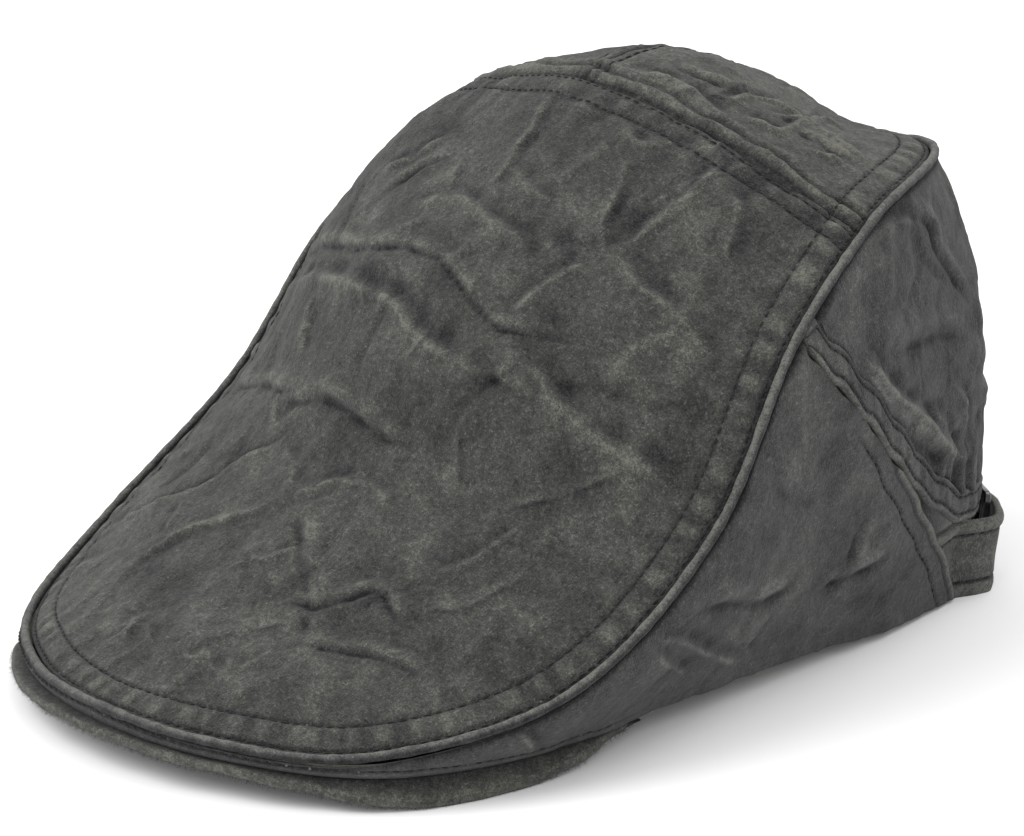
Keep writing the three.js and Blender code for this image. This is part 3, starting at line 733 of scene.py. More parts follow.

# %% [markdown]
# ## Creases
# The cap was folded flat for a long time, and its front panel kept the folds. The sharpest ones are
# listed one by one, as a few places in shares across and round the crown.

# %% Crease table
CREASES = (
    # places as (across, round), rise in mm, width in mm, wear, with painted shade where it is negative
    (((-0.05, 0.72), (0.00, 0.70), (0.01, 0.69), (0.03, 0.68), (0.02, 0.67)), 0.8, 1.2, 1.2),
    (((-0.25, 0.65), (-0.10, 0.66), (0.02, 0.66), (0.12, 0.655), (0.25, 0.65), (0.31, 0.64), (0.35, 0.63)),
     0.9, 1.5, 1.0),
    (((0.37, 0.605), (0.39, 0.62), (0.41, 0.63), (0.44, 0.64), (0.48, 0.65)), 0.7, 1.4, 1.0),
    (((0.07, 0.68), (0.14, 0.675), (0.26, 0.67)), 0.7, 1.4, 0.9),
    (((0.32, 0.655), (0.37, 0.65), (0.43, 0.645)), 0.7, 1.3, 1.0),
    (((0.38, 0.70), (0.41, 0.69), (0.43, 0.68), (0.44, 0.67), (0.47, 0.66), (0.51, 0.655)), 0.8, 1.2, 1.2),
    (((0.53, 0.655), (0.56, 0.67), (0.58, 0.68), (0.61, 0.695), (0.61, 0.725)), 0.9, 1.7, 1.0),
    (((0.52, 0.655), (0.58, 0.65), (0.64, 0.64), (0.70, 0.635), (0.77, 0.625), (0.86, 0.605), (0.89, 0.595)),
     0.9, 1.6, 1.0),
    (((0.22, 0.72), (0.29, 0.715), (0.35, 0.71), (0.40, 0.71), (0.47, 0.72)), 0.6, 1.2, 0.9),
    (((0.69, 0.705), (0.73, 0.70), (0.76, 0.685), (0.78, 0.665)), 0.6, 1.2, 0.9),
    (((-0.80, 0.58), (-0.66, 0.585), (-0.41, 0.595), (-0.24, 0.60), (-0.04, 0.60), (0.06, 0.59), (0.17, 0.58),
      (0.26, 0.575), (0.33, 0.57), (0.42, 0.56)), 1.1, 1.8, 1.2),
    (((0.39, 0.58), (0.45, 0.58), (0.51, 0.575), (0.57, 0.56), (0.65, 0.55), (0.73, 0.54), (0.80, 0.535),
      (0.91, 0.52)), 1.0, 2.0, 0.9),
    (((-0.55, 0.655), (-0.44, 0.67), (-0.39, 0.68), (-0.33, 0.69)), 0.8, 1.3, 0.9),
    (((-0.47, 0.585), (-0.45, 0.57), (-0.41, 0.555), (-0.38, 0.545)), 0.5, 1.4, 0.7),
    (((-0.74, 0.45), (-0.84, 0.435), (-0.95, 0.42)), 0.5, 1.2, 1.0),
    (((-0.24, 0.50), (-0.23, 0.49), (-0.15, 0.48), (-0.10, 0.46)), 0.5, 1.4, 0.7),
    (((-0.08, 0.46), (-0.01, 0.47), (0.06, 0.485), (0.16, 0.49)), 0.6, 1.5, 0.8),
    (((-0.12, 0.46), (-0.14, 0.445), (-0.21, 0.425), (-0.27, 0.41), (-0.33, 0.39), (-0.43, 0.345),
      (-0.48, 0.32)), 0.7, 1.4, 0.9),
    (((-0.22, 0.27), (-0.21, 0.24), (-0.21, 0.21)), 0.6, 1.4, 0.8),
    (((0.11, 0.49), (0.20, 0.485), (0.28, 0.47)), 0.5, 1.4, 0.6),
    (((-0.94, 0.595), (-0.39, 0.615), (-0.14, 0.63), (-0.05, 0.63), (0.04, 0.63), (0.16, 0.62), (0.26, 0.61),
      (0.36, 0.60), (0.54, 0.60), (0.59, 0.59), (0.63, 0.58)), -0.9, 1.1, -1.2),
    (((0.31, 0.67), (0.35, 0.665), (0.40, 0.655)), -0.6, 1.6, -0.6),
    (((-0.44, 0.645), (-0.40, 0.655), (-0.36, 0.665), (-0.29, 0.675), (-0.22, 0.68)), -0.8, 1.2, -1.1),
    (((-0.92, 0.495), (-0.62, 0.515), (-0.44, 0.52), (-0.28, 0.53)), -0.8, 1.2, -1.1),
    (((-0.39, 0.515), (-0.30, 0.52), (-0.19, 0.53), (-0.07, 0.53), (0.04, 0.525), (0.15, 0.52), (0.25, 0.52)),
     -1.0, 1.6, -1.1),
    (((-0.27, 0.515), (-0.31, 0.495), (-0.39, 0.48), (-0.48, 0.46), (-0.48, 0.455), (-0.52, 0.435),
      (-0.59, 0.415), (-0.68, 0.395), (-0.82, 0.37), (-0.94, 0.35)), -0.9, 1.2, -1.2),
    (((-0.02, 0.45), (0.09, 0.42), (0.16, 0.40), (0.24, 0.38), (0.30, 0.36)), -0.9, 1.9, -0.8),
    (((0.19, 0.36), (0.26, 0.37), (0.30, 0.37), (0.35, 0.385), (0.40, 0.40), (0.44, 0.40), (0.49, 0.39),
      (0.54, 0.38), (0.59, 0.38)), -0.9, 1.2, -1.2),
    (((0.30, 0.36), (0.38, 0.33), (0.38, 0.31)), -0.6, 1.6, -0.8),
    (((0.39, 0.325), (0.49, 0.33), (0.58, 0.34), (0.74, 0.34)), -0.7, 1.2, -1.0),
    (((0.54, 0.57), (0.66, 0.575), (0.76, 0.57), (0.84, 0.57)), -0.8, 2.4, -0.5),
    (((0.38, 0.57), (0.41, 0.565), (0.48, 0.56)), -0.9, 1.4, -1.2),
    # behind the cross seam
    (((0.10, 0.750), (0.22, 0.752), (0.31, 0.756), (0.40, 0.756), (0.52, 0.752)), 1.3, 1.3, 1.7),
    (((0.46, 0.762), (0.45, 0.78), (0.46, 0.80), (0.48, 0.812), (0.56, 0.825), (0.58, 0.88)), 1.4, 1.4, 1.8),
    (((0.52, 0.758), (0.57, 0.768), (0.64, 0.77), (0.64, 0.79), (0.61, 0.816)), 1.3, 1.3, 1.7),
    (((0.53, 0.78), (0.57, 0.79), (0.61, 0.81), (0.75, 0.805), (0.83, 0.806), (0.92, 0.80)), 1.4, 1.4, 1.8),
    (((0.72, 0.77), (0.79, 0.78), (0.89, 0.785), (0.94, 0.78)), 1.3, 1.3, 1.7),
    (((0.20, 0.77), (0.32, 0.775), (0.40, 0.79)), -1.1, 1.4, -1.4),
    (((0.66, 0.785), (0.75, 0.79), (0.86, 0.795)), -1.1, 1.2, -1.5),
    (((-0.70, 0.77), (-0.50, 0.79), (-0.25, 0.79)), 0.8, 1.5, 0.9),
    (((-0.60, 0.86), (-0.40, 0.88), (-0.15, 0.87)), 0.7, 1.5, 0.8),
    (((0.30, 0.90), (0.45, 0.92), (0.60, 0.90)), 0.6, 1.5, 0.8),
)


print(len(CREASES), "creases on the crown")

# %% [markdown]
# Each crease is a narrow ridge with a shallow valley beside it, paled along the top by rubbing and painted
# dark in the valley as shade, and it fades out towards its ends. A negative rise turns it into a sharp
# valley painted dark as shade, with a soft shoulder.

# %% Crease profile
def creased(points, normals, creases, surface):
    relief = np.zeros(points.shape[:-1])
    wear = np.zeros(points.shape[:-1])
    for places, rise, width, strength in creases:
        route = smooth_path(places)
        line = surface(route[:, 0], route[:, 1])
        side, along, length = near_line(points, normals, line, 7 * width)
        fade = step_up(along, 0, length * 0.22) * step_up(length - along, 0, length * 0.22)
        ends = bell(np.maximum(np.abs(side) - 4 * width, 0), width)
        uneven = 0.75 + 0.35 * pucker(along, 13.0, int(100 + abs(rise) * 10 + length))
        fade = fade * ends * uneven
        shoulder = bell(side - 1.9 * width, 1.3 * width)
        relief += fade * (bell(side, width) - 0.6 * shoulder) * rise * 1.2
        halo = bell(side, width * 2.2)
        # painted shade in the valley beside each crest, and along the whole of a crease whose wear is
        # negative
        wear += fade * (bell(side, width * 0.50) * 1.7 - shoulder * 1.05 + halo * 0.20) * strength
    return relief, wear


print("a crease rises to", round(max(rise for places, rise, width, wear in CREASES) * 1.2, 1), "mm")

# %% [markdown]
# Between the listed creases lie many short faint ones. They are strewn at random, mostly along the two
# diagonals, because woven cloth folds most easily across its threads.

# %% Stray creases
def stray_creases(seed, count, low, high, size):
    """Short faint creases strewn over a panel, mostly in two directions."""
    rng = np.random.default_rng(seed)
    low, high, size = np.array(low), np.array(high), np.array(size)
    creases = []
    for _ in range(count):
        start = rng.uniform(low, high)
        angle = rng.choice((0.5, 2.2)) + rng.normal(0, 0.35)
        way = np.array([math.cos(angle), math.sin(angle)]) * size * rng.uniform(0.5, 1.2)
        bend = np.array([-way[1], way[0]]) * rng.normal(0, 0.12)
        creases.append(((start - way / 2, start + bend, start + way / 2), rng.uniform(0.25, 0.5),
                        rng.uniform(0.9, 1.4), rng.uniform(0.45, 0.9) * rng.choice((-0.8, 1.0))))
    return tuple(creases)


print(len(stray_creases(1, 5, (0, 0), (1, 1), (0.1, 0.1))), "stray creases in a sample")

# %% [markdown]
# Under all of it every panel has the same uneven ground: large and small crumples, and slow swells.

# %% Crumpled ground
def cloth_relief(points, seed, strength=1.0):
    large = crumple(points, 30, seed, 2.6)
    small = crumple(points, 12, seed + 50, 1.1)
    relief = large * 0.60 + small * 0.24
    relief = relief + swell(points, 34, seed + 20) * 0.3 + swell(points, 9, seed + 30) * 0.12
    # the crumples are paler where they rise, with rubbing, and painted darker where they sink, as shade
    wear = large * 0.34 + small * 0.24
    wear = wear + swell(points, 20, seed + 60) * 0.16 + swell(points, 9, seed + 40) * 0.10
    return relief * strength, wear * strength


ground = cloth_relief(np.array([[[0.0, 0, 0], [15, 0, 0]], [[0, 15, 0], [15, 15, 0]]]), 1)[0]
print("ground at four places:", ground.round(2).tolist(), "mm")

# %% [markdown]
# ## The crown
# The front panel and the two rear panels are the same surface, cut at the cross seam and along the
# middle of the back. Each is laid out on a grid of well under one millimetre, lifted along its normals
# by the seams, the creases and the crumple, and then given its thickness.

# %% A crown panel
CROSS_SEAM = 0.733
ROW_START = 0.03
ROW_END = 0.99
MIDDLE_ROW = 3.2
# painted light: the rear panels of the crown are made paler, as lit from above and behind
REAR_PAINTED_LIGHT = 0.35
STRAY_AREA = 2000
HEAD = np.array([0, 0.55 * SEAM_LENGTH + NOSE_SHIFT, 0.25 * CROWN_HEIGHT])
CROSS_LINE = crown(np.linspace(-1, 1, 400), CROSS_SEAM)
MIDDLE_LINE = crown(0, np.linspace(CROSS_SEAM, ROW_END, 200))
PANELS = {}


def middle_seam(base, normals):
    """Relief, and wear with painted light and shade, beside the seam at the middle of the back."""
    away = near_line(base, normals, MIDDLE_LINE)[0]
    groove = bell(np.abs(away) - MIDDLE_ROW, 0.7)
    fold = bell(away, 0.8)
    # painted light over the whole rear panel; painted shade in the stitch groove and the fold of the seam
    return -groove * 0.45 - fold * 0.4, REAR_PAINTED_LIGHT - groove - fold * 0.9


def crown_panel(name, across_from, across_to, round_from, round_to, rows, columns, seed):
    across = np.linspace(across_from, across_to, columns + 1)[None, :]
    around = np.linspace(round_from, round_to, rows + 1)[:, None]
    base = crown(across, around)
    under = crown(across, around, EDGE_INSET + CLOTH)
    normals = grid_normals(base, HEAD)
    inside, along, _ = near_line(base, normals, SEAM_LINE)
    behind, beside, _ = near_line(base, normals, CROSS_LINE)
    behind = np.abs(behind) * np.sign(np.broadcast_to(around, behind.shape) - CROSS_SEAM)
    relief, wear = cloth_relief(base, seed)
    strays = stray_creases(seed, int(rows * columns / STRAY_AREA), (across_from, round_from),
                           (across_to, round_to), (0.30, 0.06))
    fold_relief, fold_wear_and_shading = creased(base, normals, CREASES + strays, crown)
    calm = step_up(np.abs(inside), SEAM_ROWS[1], SEAM_ROWS[1] + 12)
    relief = relief * (0.25 + 0.75 * calm) + fold_relief * calm
    wear = wear * (0.4 + 0.6 * calm) + fold_wear_and_shading * calm
    seams = [seam_band(np.abs(inside), along), cross_band(behind, beside)]
    if round_from > CROSS_SEAM:
        seams.append(middle_seam(base, normals))
    for extra, extra_wear_and_shading in seams:
        relief = relief + extra
        wear = wear + extra_wear_and_shading
    relief = relief * step_up(np.abs(inside), 1.4, 2.6)
    face = base + normals * relief[..., None]
    lining = under - grid_normals(under, HEAD) * CLOTH + normals * relief[..., None]
    if round_from > CROSS_SEAM:
        middle = 0 if across_from > 0 else -1
        lining[:, middle, 0] = base[:, middle, 0]
        face[:, middle, 0] = base[:, middle, 0]
    piece = sew(name + "_cloth", face, lining, wear, CROWN_FACES, 0.0)
    PANELS[name] = (base, normals, relief, inside, behind)
    return dress(piece, "waxed_cotton", name)


print("cross seam", round(float(np.ptp(CROSS_LINE[:, 0]))), "mm wide")

# %% [markdown]
# A small gap is left at the cross seam and at the middle of the back, as between the plain solids.

# %% Crown panels
half_round = GAP / SEAM_LENGTH
half_across = GAP / SEAM_WIDTH
crown_panel("front_top_panel", -1, 1, ROW_START, CROSS_SEAM - half_round, 292, 256, 21)
crown_panel("rear_top_panel_left", half_across, 1, CROSS_SEAM + half_round, ROW_END, 124, 140, 22)
crown_panel("rear_top_panel_right", -1, -half_across, CROSS_SEAM + half_round, ROW_END, 124, 140, 23)

# %% [markdown]
# ## The top seam cord
# All round the crown the seam allowance is turned into a thin roll. It takes all the rubbing, so it is
# the palest line on the cap, and it is a little lumpy because cloth, not string, fills it. A highlight is
# painted along its top and shade along its two flanks.

# %% Seam cord
CORD_SIDES = 20
cord_line, cord_along = resample(SEAM_LINE, 0.8)
cord_line, cord_along = cord_line[:-1], cord_along[:-1]
lumps = 0.05 * pucker(cord_along, 6.0, 41) + 0.04 * pucker(cord_along, 15.0, 42)
cord_wear_and_shading = 0.90 + 0.25 * pucker(cord_along, 6.0, 43) + 0.2 * pucker(cord_along, 31.0, 44)
cord_wear_and_shading = cord_wear_and_shading - 0.1 * step_up(-cord_line[:, 1], 20, 90)
from_crest = np.abs(np.arange(CORD_SIDES) / CORD_SIDES - 0.25) * 2 * np.pi
from_crest = np.minimum(from_crest, 2 * np.pi - from_crest)
# painted highlight along the top of the cord, painted shade on its flanks
crest_light_and_shade = 1.1 * bell(from_crest, 0.6) - 1.6 * step_up(from_crest, 0.8, 1.6)
cord_wear_and_shading = cord_wear_and_shading[:, None] + crest_light_and_shade[None, :]
cord_ups = np.tile([0.0, 0.0, 1.0], (len(cord_line), 1))
cord_radius = CORD_RADIUS * (0.84 + lumps)
seam_cord = tube("top_seam_cord_cloth", cord_line, cord_ups, cord_radius, CORD_SIDES, cord_wear_and_shading, CLOTH_FACES)
dress(seam_cord, "waxed_cotton", "top_seam_cord")

# %% [markdown]
# ## The walls
# Side panels run from the middle of the narrow band above the peak to a free rolled edge at the back.
# Behind them the back panels end in a slanting double hem. All are the wall surface between two shares
# of its height, and the same paths that cut them also place their stitches. Each path is a table of
# places in shares round and down the wall.

# %% Paths of the hem and the rear edge
HEM_WIDTH = 7
HEM_THICKNESS = 2.8
HEM_CLEAR = 0.9
HEM_START = 0.007
HEM_PATH = ((0.633, 0.030), (0.665, 0.219), (0.696, 0.378), (0.726, 0.522), (0.754, 0.634),
            (0.784, 0.724), (0.815, 0.792), (0.850, 0.812), (1.000, 0.806))
REAR_EDGE = ((0.00, 0.660), (0.34, 0.702), (0.57, 0.737), (0.70, 0.765), (0.80, 0.788),
             (0.90, 0.811), (1.00, 0.828))
HEM_HEAD = HEM_PATH[0][0]
SIDE_START = GAP / SEAM_LENGTH
print("the hem starts at", HEM_HEAD, "and the side at", round(SIDE_START, 4), "of the way round")

# %% [markdown]
# Lengths in millimetres have to become shares of the wall's height, which changes all the way round. The
# seam also slopes, so a clear distance from it takes more drop where it climbs.

# %% Lengths on the wall
def drop_of(around, length):
    return length / np.linalg.norm(edge("seam", around) - edge("rim", around), axis=-1)


def clear_drop(around, distance):
    step = 0.001
    climb = unit(edge("seam", around + step) - edge("seam", around - step))
    fall = unit(edge("rim", around) - edge("seam", around))
    cosine = np.sum(climb * fall, axis=-1)
    return drop_of(around, distance) / np.sqrt(1 - cosine**2)


def hem_rise(around):
    step = 0.01
    before = np.maximum(around - step, HEM_HEAD)
    after = np.minimum(around + step, 1.0)
    run = wall(after, read_table(HEM_PATH, after)) - wall(before, read_table(HEM_PATH, before))
    slope = np.abs(run[..., 2]) / np.hypot(run[..., 0], run[..., 1])
    return drop_of(around, HEM_WIDTH * np.sqrt(1 + slope**2))


print("the hem takes", round(float(hem_rise(np.array(0.9))), 2), "of the wall's height at the back")

# %% [markdown]
# Every wall panel is finished alike: its face is lifted by the relief, its lining lies one thickness
# behind, and a hem stands a little proud, because it is double.

# %% A wall panel
def wall_cloth(name, around, drop, relief, wear, proud=0.0, thickness=CLOTH, slot="waxed_cotton",
               edge_wear=0.3):
    normals = wall_normal(around, drop)
    base = wall(around, drop) + normals * proud
    face = base + normals * relief[..., None]
    lining = base - normals * (thickness - np.minimum(relief, 0.4)[..., None])
    PANELS[name] = (base, normals, relief)
    return dress(sew(name + "_cloth", face, lining, wear, CLOTH_FACES, edge_wear), slot, name)


print("wall cloth is", CLOTH, "mm thick and the hem", HEM_THICKNESS, "mm")

# %% [markdown]
# The creases of the walls are listed like those of the crown, in shares round and down the wall.

# %% Creases of the side
SIDE_CREASES = (
    # places as (around, drop), rise in mm, width in mm, wear, with painted shade where it is negative
    (((0.48, 0.31), (0.56, 0.64), (0.60, 0.72), (0.62, 0.70), (0.63, 0.66)), -1.0, 2.0, -1.1),
    (((0.65, 0.81), (0.68, 0.80), (0.71, 0.80), (0.74, 0.77)), -0.9, 1.6, -1.1),
    (((0.70, 0.63), (0.69, 0.69), (0.68, 0.79)), -0.8, 1.6, -0.9),
    (((0.44, 0.17), (0.49, 0.54), (0.53, 0.77), (0.58, 0.94)), 0.7, 1.3, 1.1),
    (((0.44, 0.25), (0.47, 0.57), (0.51, 0.82)), 0.5, 1.2, 0.8),
    (((0.58, 0.89), (0.59, 0.85), (0.60, 0.78)), -0.7, 1.6, -0.8),
    (((0.34, 0.15), (0.37, 0.93)), 0.4, 1.1, 1.0),
    (((0.57, 0.20), (0.60, 0.38), (0.64, 0.52)), -0.6, 2.6, -0.5),
)
print(len(SIDE_CREASES), "creases on each side")

# %% [markdown]
# The side panel follows the hem above and its own slanting edge below. The edge is turned once and
# stitched, so it has a pale roll, a dark line of painted shade inside the roll and a stitch groove further
# in, also painted dark as shade. Over the peak a second row runs close to the rim. Shade is also painted
# under the cord and along the rim where the band meets the peak.

# %% Side panels
SIDE_ROWS = 90
SIDE_COLUMNS = 400
HEAD_REACH = 0.005
REAR_STITCH_INSET = 8.5
BAND_STITCH_INSET = 2.6


def turned_edge(gap, behind):
    """Relief, and wear with painted shade, beside the free rear edge."""
    groove = bell(gap - REAR_STITCH_INSET, 0.6) * behind
    roll = bell(gap - 0.4, 1.0) * behind
    relief = roll * 0.4 - groove * 0.45 - bell(gap - 2.4, 0.7) * behind * 0.35
    # painted shade in the stitch groove and in the dip inside the roll; the roll itself is paler with rubbing
    return relief, roll * 2.2 - groove * 1.2 - bell(gap - 2.4, 0.6) * behind * 1.2


def side_panel(name, side, seed):
    r = np.linspace(0, 1, SIDE_ROWS + 1)[:, None]
    c = np.linspace(0, 1, SIDE_COLUMNS + 1)[None, :]
    top = clear_drop(HEM_HEAD, EDGE_INSET)
    down = top + (1 - top) * r
    under_hem = read_table(HEM_PATH, down, back=True) - HEM_CLEAR / SEAM_LENGTH
    last = np.minimum(under_hem, read_table(REAR_EDGE, down))
    last = last + HEAD_REACH * (1 - step_up(down, 0.02, 0.075))
    around = SIDE_START + (last - SIDE_START) * c
    start = clear_drop(around, EDGE_INSET)
    drop = start + (1 - start) * r
    points = wall(side * around, drop)
    normals = wall_normal(side * around, drop)
    below = np.abs(near_line(points, normals, SEAM_LINE)[0])
    height = np.linalg.norm(edge("seam", around) - edge("rim", around), axis=-1)
    tall = step_up(height, 12, 40)
    relief, wear = cloth_relief(points, seed)
    relief = relief * (0.12 + 0.68 * tall)
    wear = wear * (0.5 + 0.3 * tall)
    folds, fold_wear_and_shading = creased(points, normals, SIDE_CREASES, lambda a, d: wall(side * a, d))
    edge_gap = np.linalg.norm(points - wall(side * read_table(REAR_EDGE, drop), drop), axis=-1)
    behind = step_up(drop, 0.36, 0.46)
    calm = 1 - (1 - step_up(edge_gap, 3, 16)) * behind
    relief = relief * calm + folds
    wear = wear * (0.4 + 0.6 * calm) + fold_wear_and_shading
    # painted shade: a dark strip right under the cord and a faint broad one below it
    wear = wear - bell(below - 1.4, 1.0) * 2.0 - bell(below, 4.5) * 0.25
    rim = (1 - drop) * height
    front = 1 - step_up(around, 0.42, 0.52)
    # painted shade along the rim where the band meets the peak; the strip just above it is paler
    wear = wear - bell(rim, 0.9) * 0.6 * (1 - tall) + bell(rim - 1.6, 1.2) * 0.35 * front
    turned_relief, turned_wear_and_shading = turned_edge(edge_gap, behind)
    row = bell(rim - BAND_STITCH_INSET, 0.55) * front
    relief = relief + turned_relief - row * 0.35
    # painted shade in the stitch groove over the peak
    wear = wear + turned_wear_and_shading - row * 1.2
    relief = relief * step_up(below, 1.4, 3.0)
    return wall_cloth(name, side * around, drop, relief, wear, edge_wear=0.5)


side_panel("side_panel_left", 1, 31)
side_panel("side_panel_right", -1, 32)

# %% [markdown]
# The back panels carry the deepest fold of the cap, which runs along the hem, and upright drapes behind
# it. Over the level part of the hem the cloth is gathered into small waves.

# %% Creases of the back
BACK_CREASES = (
    # places as (around, drop), rise in mm, width in mm, wear, with painted shade where it is negative
    (((0.69, 0.20), (0.71, 0.28), (0.72, 0.34), (0.74, 0.41), (0.76, 0.46), (0.78, 0.54), (0.80, 0.61),
      (0.82, 0.66)), 1.3, 1.4, 1.4),
    (((0.68, 0.22), (0.70, 0.34), (0.73, 0.46), (0.77, 0.57), (0.80, 0.65)), -1.0, 2.2, -0.9),
    (((0.79, 0.05), (0.81, 0.10), (0.81, 0.15), (0.82, 0.21), (0.83, 0.27), (0.84, 0.31)), -1.1, 1.5, -1.1),
    (((0.75, 0.03), (0.78, 0.05), (0.80, 0.09)), 0.7, 1.6, 0.9),
    (((0.72, 0.27), (0.75, 0.30), (0.78, 0.32), (0.80, 0.34), (0.83, 0.38)), -0.9, 2.4, -0.7),
    (((0.77, 0.46), (0.79, 0.53), (0.80, 0.59), (0.82, 0.66)), 0.8, 1.3, 0.9),
    (((0.80, 0.43), (0.81, 0.48), (0.82, 0.54), (0.82, 0.60)), 0.8, 1.3, 0.9),
    (((0.86, 0.22), (0.85, 0.33), (0.85, 0.47), (0.86, 0.64)), 0.8, 1.8, 1.3),
    (((0.92, 0.15), (0.93, 0.40), (0.91, 0.62)), -0.8, 2.0, -0.7),
    (((0.96, 0.10), (0.95, 0.30), (0.97, 0.55)), 0.7, 1.6, 0.8),
)
print(len(BACK_CREASES), "creases on each half of the back")

# %% Back panels
BACK_ROWS = 110
HEM_COLUMNS = 216
GATHER_REACH = 16.0


def hem_round(share):
    return HEM_HEAD + HEM_START + (1 - SIDE_START - HEM_HEAD - HEM_START) * share


def back_panel(name, side, seed):
    r = np.linspace(0, 1, BACK_ROWS + 1)[:, None]
    around = hem_round(np.linspace(1 / 24, 1, HEM_COLUMNS + 1))[None, :]
    around = np.repeat(around, BACK_ROWS + 1, axis=0)
    start = clear_drop(around, EDGE_INSET)
    end = read_table(HEM_PATH, around) - hem_rise(around) - drop_of(around, GAP)
    drop = start + (end - start) * r
    points = wall(side * around, drop)
    normals = wall_normal(side * around, drop)
    below = np.abs(near_line(points, normals, SEAM_LINE)[0])
    relief, wear = cloth_relief(points, seed, 1.2)
    folds, fold_wear_and_shading = creased(points, normals, BACK_CREASES, lambda a, d: wall(side * a, d))
    relief = relief + folds
    wear = wear + fold_wear_and_shading
    above_hem = (end - drop) * np.linalg.norm(edge("seam", around) - edge("rim", around), axis=-1)
    length = np.cumsum(np.linalg.norm(np.diff(points[-1], axis=0, prepend=points[-1][:1]), axis=-1))
    gather = pucker(length, 8.0, seed + 5)[None, :] * step_up(around, 0.72, 0.82)
    gather = gather * bell(above_hem, GATHER_REACH)
    relief = relief + gather * 0.9
    # painted shade right under the cord and along the top of the proud hem; the gathers are paler where they
    # rise
    wear = wear + gather * 0.5 - bell(below - 1.4, 1.0) * 2.0 - bell(above_hem, 1.0) * 1.6
    # paler for about a centimetre under the top seam; painted shade darkens the whole panel
    wear = wear + bell(below, 12.0) * 0.15 - 0.28
    relief = relief * step_up(below, 1.4, 3.0)
    return wall_cloth(name, side * around, drop, relief, wear)


print("a back panel is a grid of", BACK_ROWS, "by", HEM_COLUMNS, "faces")

# %% [markdown]
# The double hem is stitched along both edges, and the thread draws the band between the rows into
# pillows. Near its head it is paler, its foot is rubbed pale, and its stitch grooves are painted dark as
# shade.

# %% Back hems
HEM_ROWS = 24


def back_hem(name, side, seed):
    r = np.linspace(0, 1, HEM_ROWS + 1)[:, None]
    around = np.repeat(hem_round(np.linspace(0, 1, HEM_COLUMNS + 1))[None, :], HEM_ROWS + 1, axis=0)
    foot = read_table(HEM_PATH, around)
    head = np.maximum(foot - hem_rise(around), clear_drop(around, EDGE_INSET))
    drop = head + (foot - head) * r
    points = wall(side * around, drop)
    length = np.cumsum(np.linalg.norm(np.diff(points[-1], axis=0, prepend=points[-1][:1]), axis=-1))
    wave = pucker(length, 7.0, seed)[None, :]
    width = r * HEM_WIDTH
    low = step_up(around, 0.72, 0.82)
    grooves = bell(width - 1.0, 0.48) + bell(width - HEM_WIDTH + 1.5, 0.48)
    relief = (0.10 + 0.28 * wave * (0.5 + low)) * bell(width - HEM_WIDTH / 2, 2.4) - grooves * 0.5
    relief = relief + swell(points, 9, seed) * 0.12
    lighter = 1 - step_up(around, 0.65, 0.70)
    # painted shade in both stitch grooves
    wear = 0.10 + 0.4 * wave * bell(width - HEM_WIDTH / 2, 2.6) - grooves * 1.4 + 0.6 * lighter
    wear = wear + bell(width - HEM_WIDTH, 0.9) * 1.0 + crumple(points, 13, seed, 1.4) * 0.3
    proud = HEM_THICKNESS - CLOTH
    return wall_cloth(name, side * around, drop, relief, wear, proud, HEM_THICKNESS, "hem_cotton", 0.7)


back_panel("back_panel_left", 1, 51)
back_hem("back_hem_left", 1, 54)
back_panel("back_panel_right", -1, 61)
back_hem("back_hem_right", -1, 64)

# %% [markdown]
# ## The peak
# A flat cap's peak is a curved board in a cloth cover, mostly hidden under the crown. Only its lip shows:
# a soft rounded edge, painted paler along its outer edge as light and darker towards the crown as shade.

# %% Outline of the peak
PEAK_THICKNESS = 2.4
PEAK_LIP = 4.5
PEAK_DEPTH = 56
PEAK_ARCH = 8
FAR_LIP = 2.4
LIP_ROWS = 9
BOARD_ROWS = 26
# how far out and down the lip lies, as shares of its size, at shares of the way round
PEAK_OUT = ((0.00, 0.25), (0.15, 0.25), (0.20, 0.35), (0.25, 0.55), (0.30, 0.67), (0.36, 0.62),
            (0.41, 0.42), (0.46, 0.05), (0.48, -0.45))
PEAK_DROP = ((0.00, 0.50), (0.15, 0.60), (0.20, 0.78), (0.25, 1.20), (0.30, 1.40), (0.36, 1.25),
             (0.41, 0.90), (0.46, 0.45), (0.48, 0.05))
print("the peak reaches", PEAK_DEPTH, "mm under the crown")

# %% [markdown]
# The board is one sheet: from the lip to the crease under the rim, and from there back under the crown
# to a shallow arch that follows the forehead. It gets thinner towards its two corners.

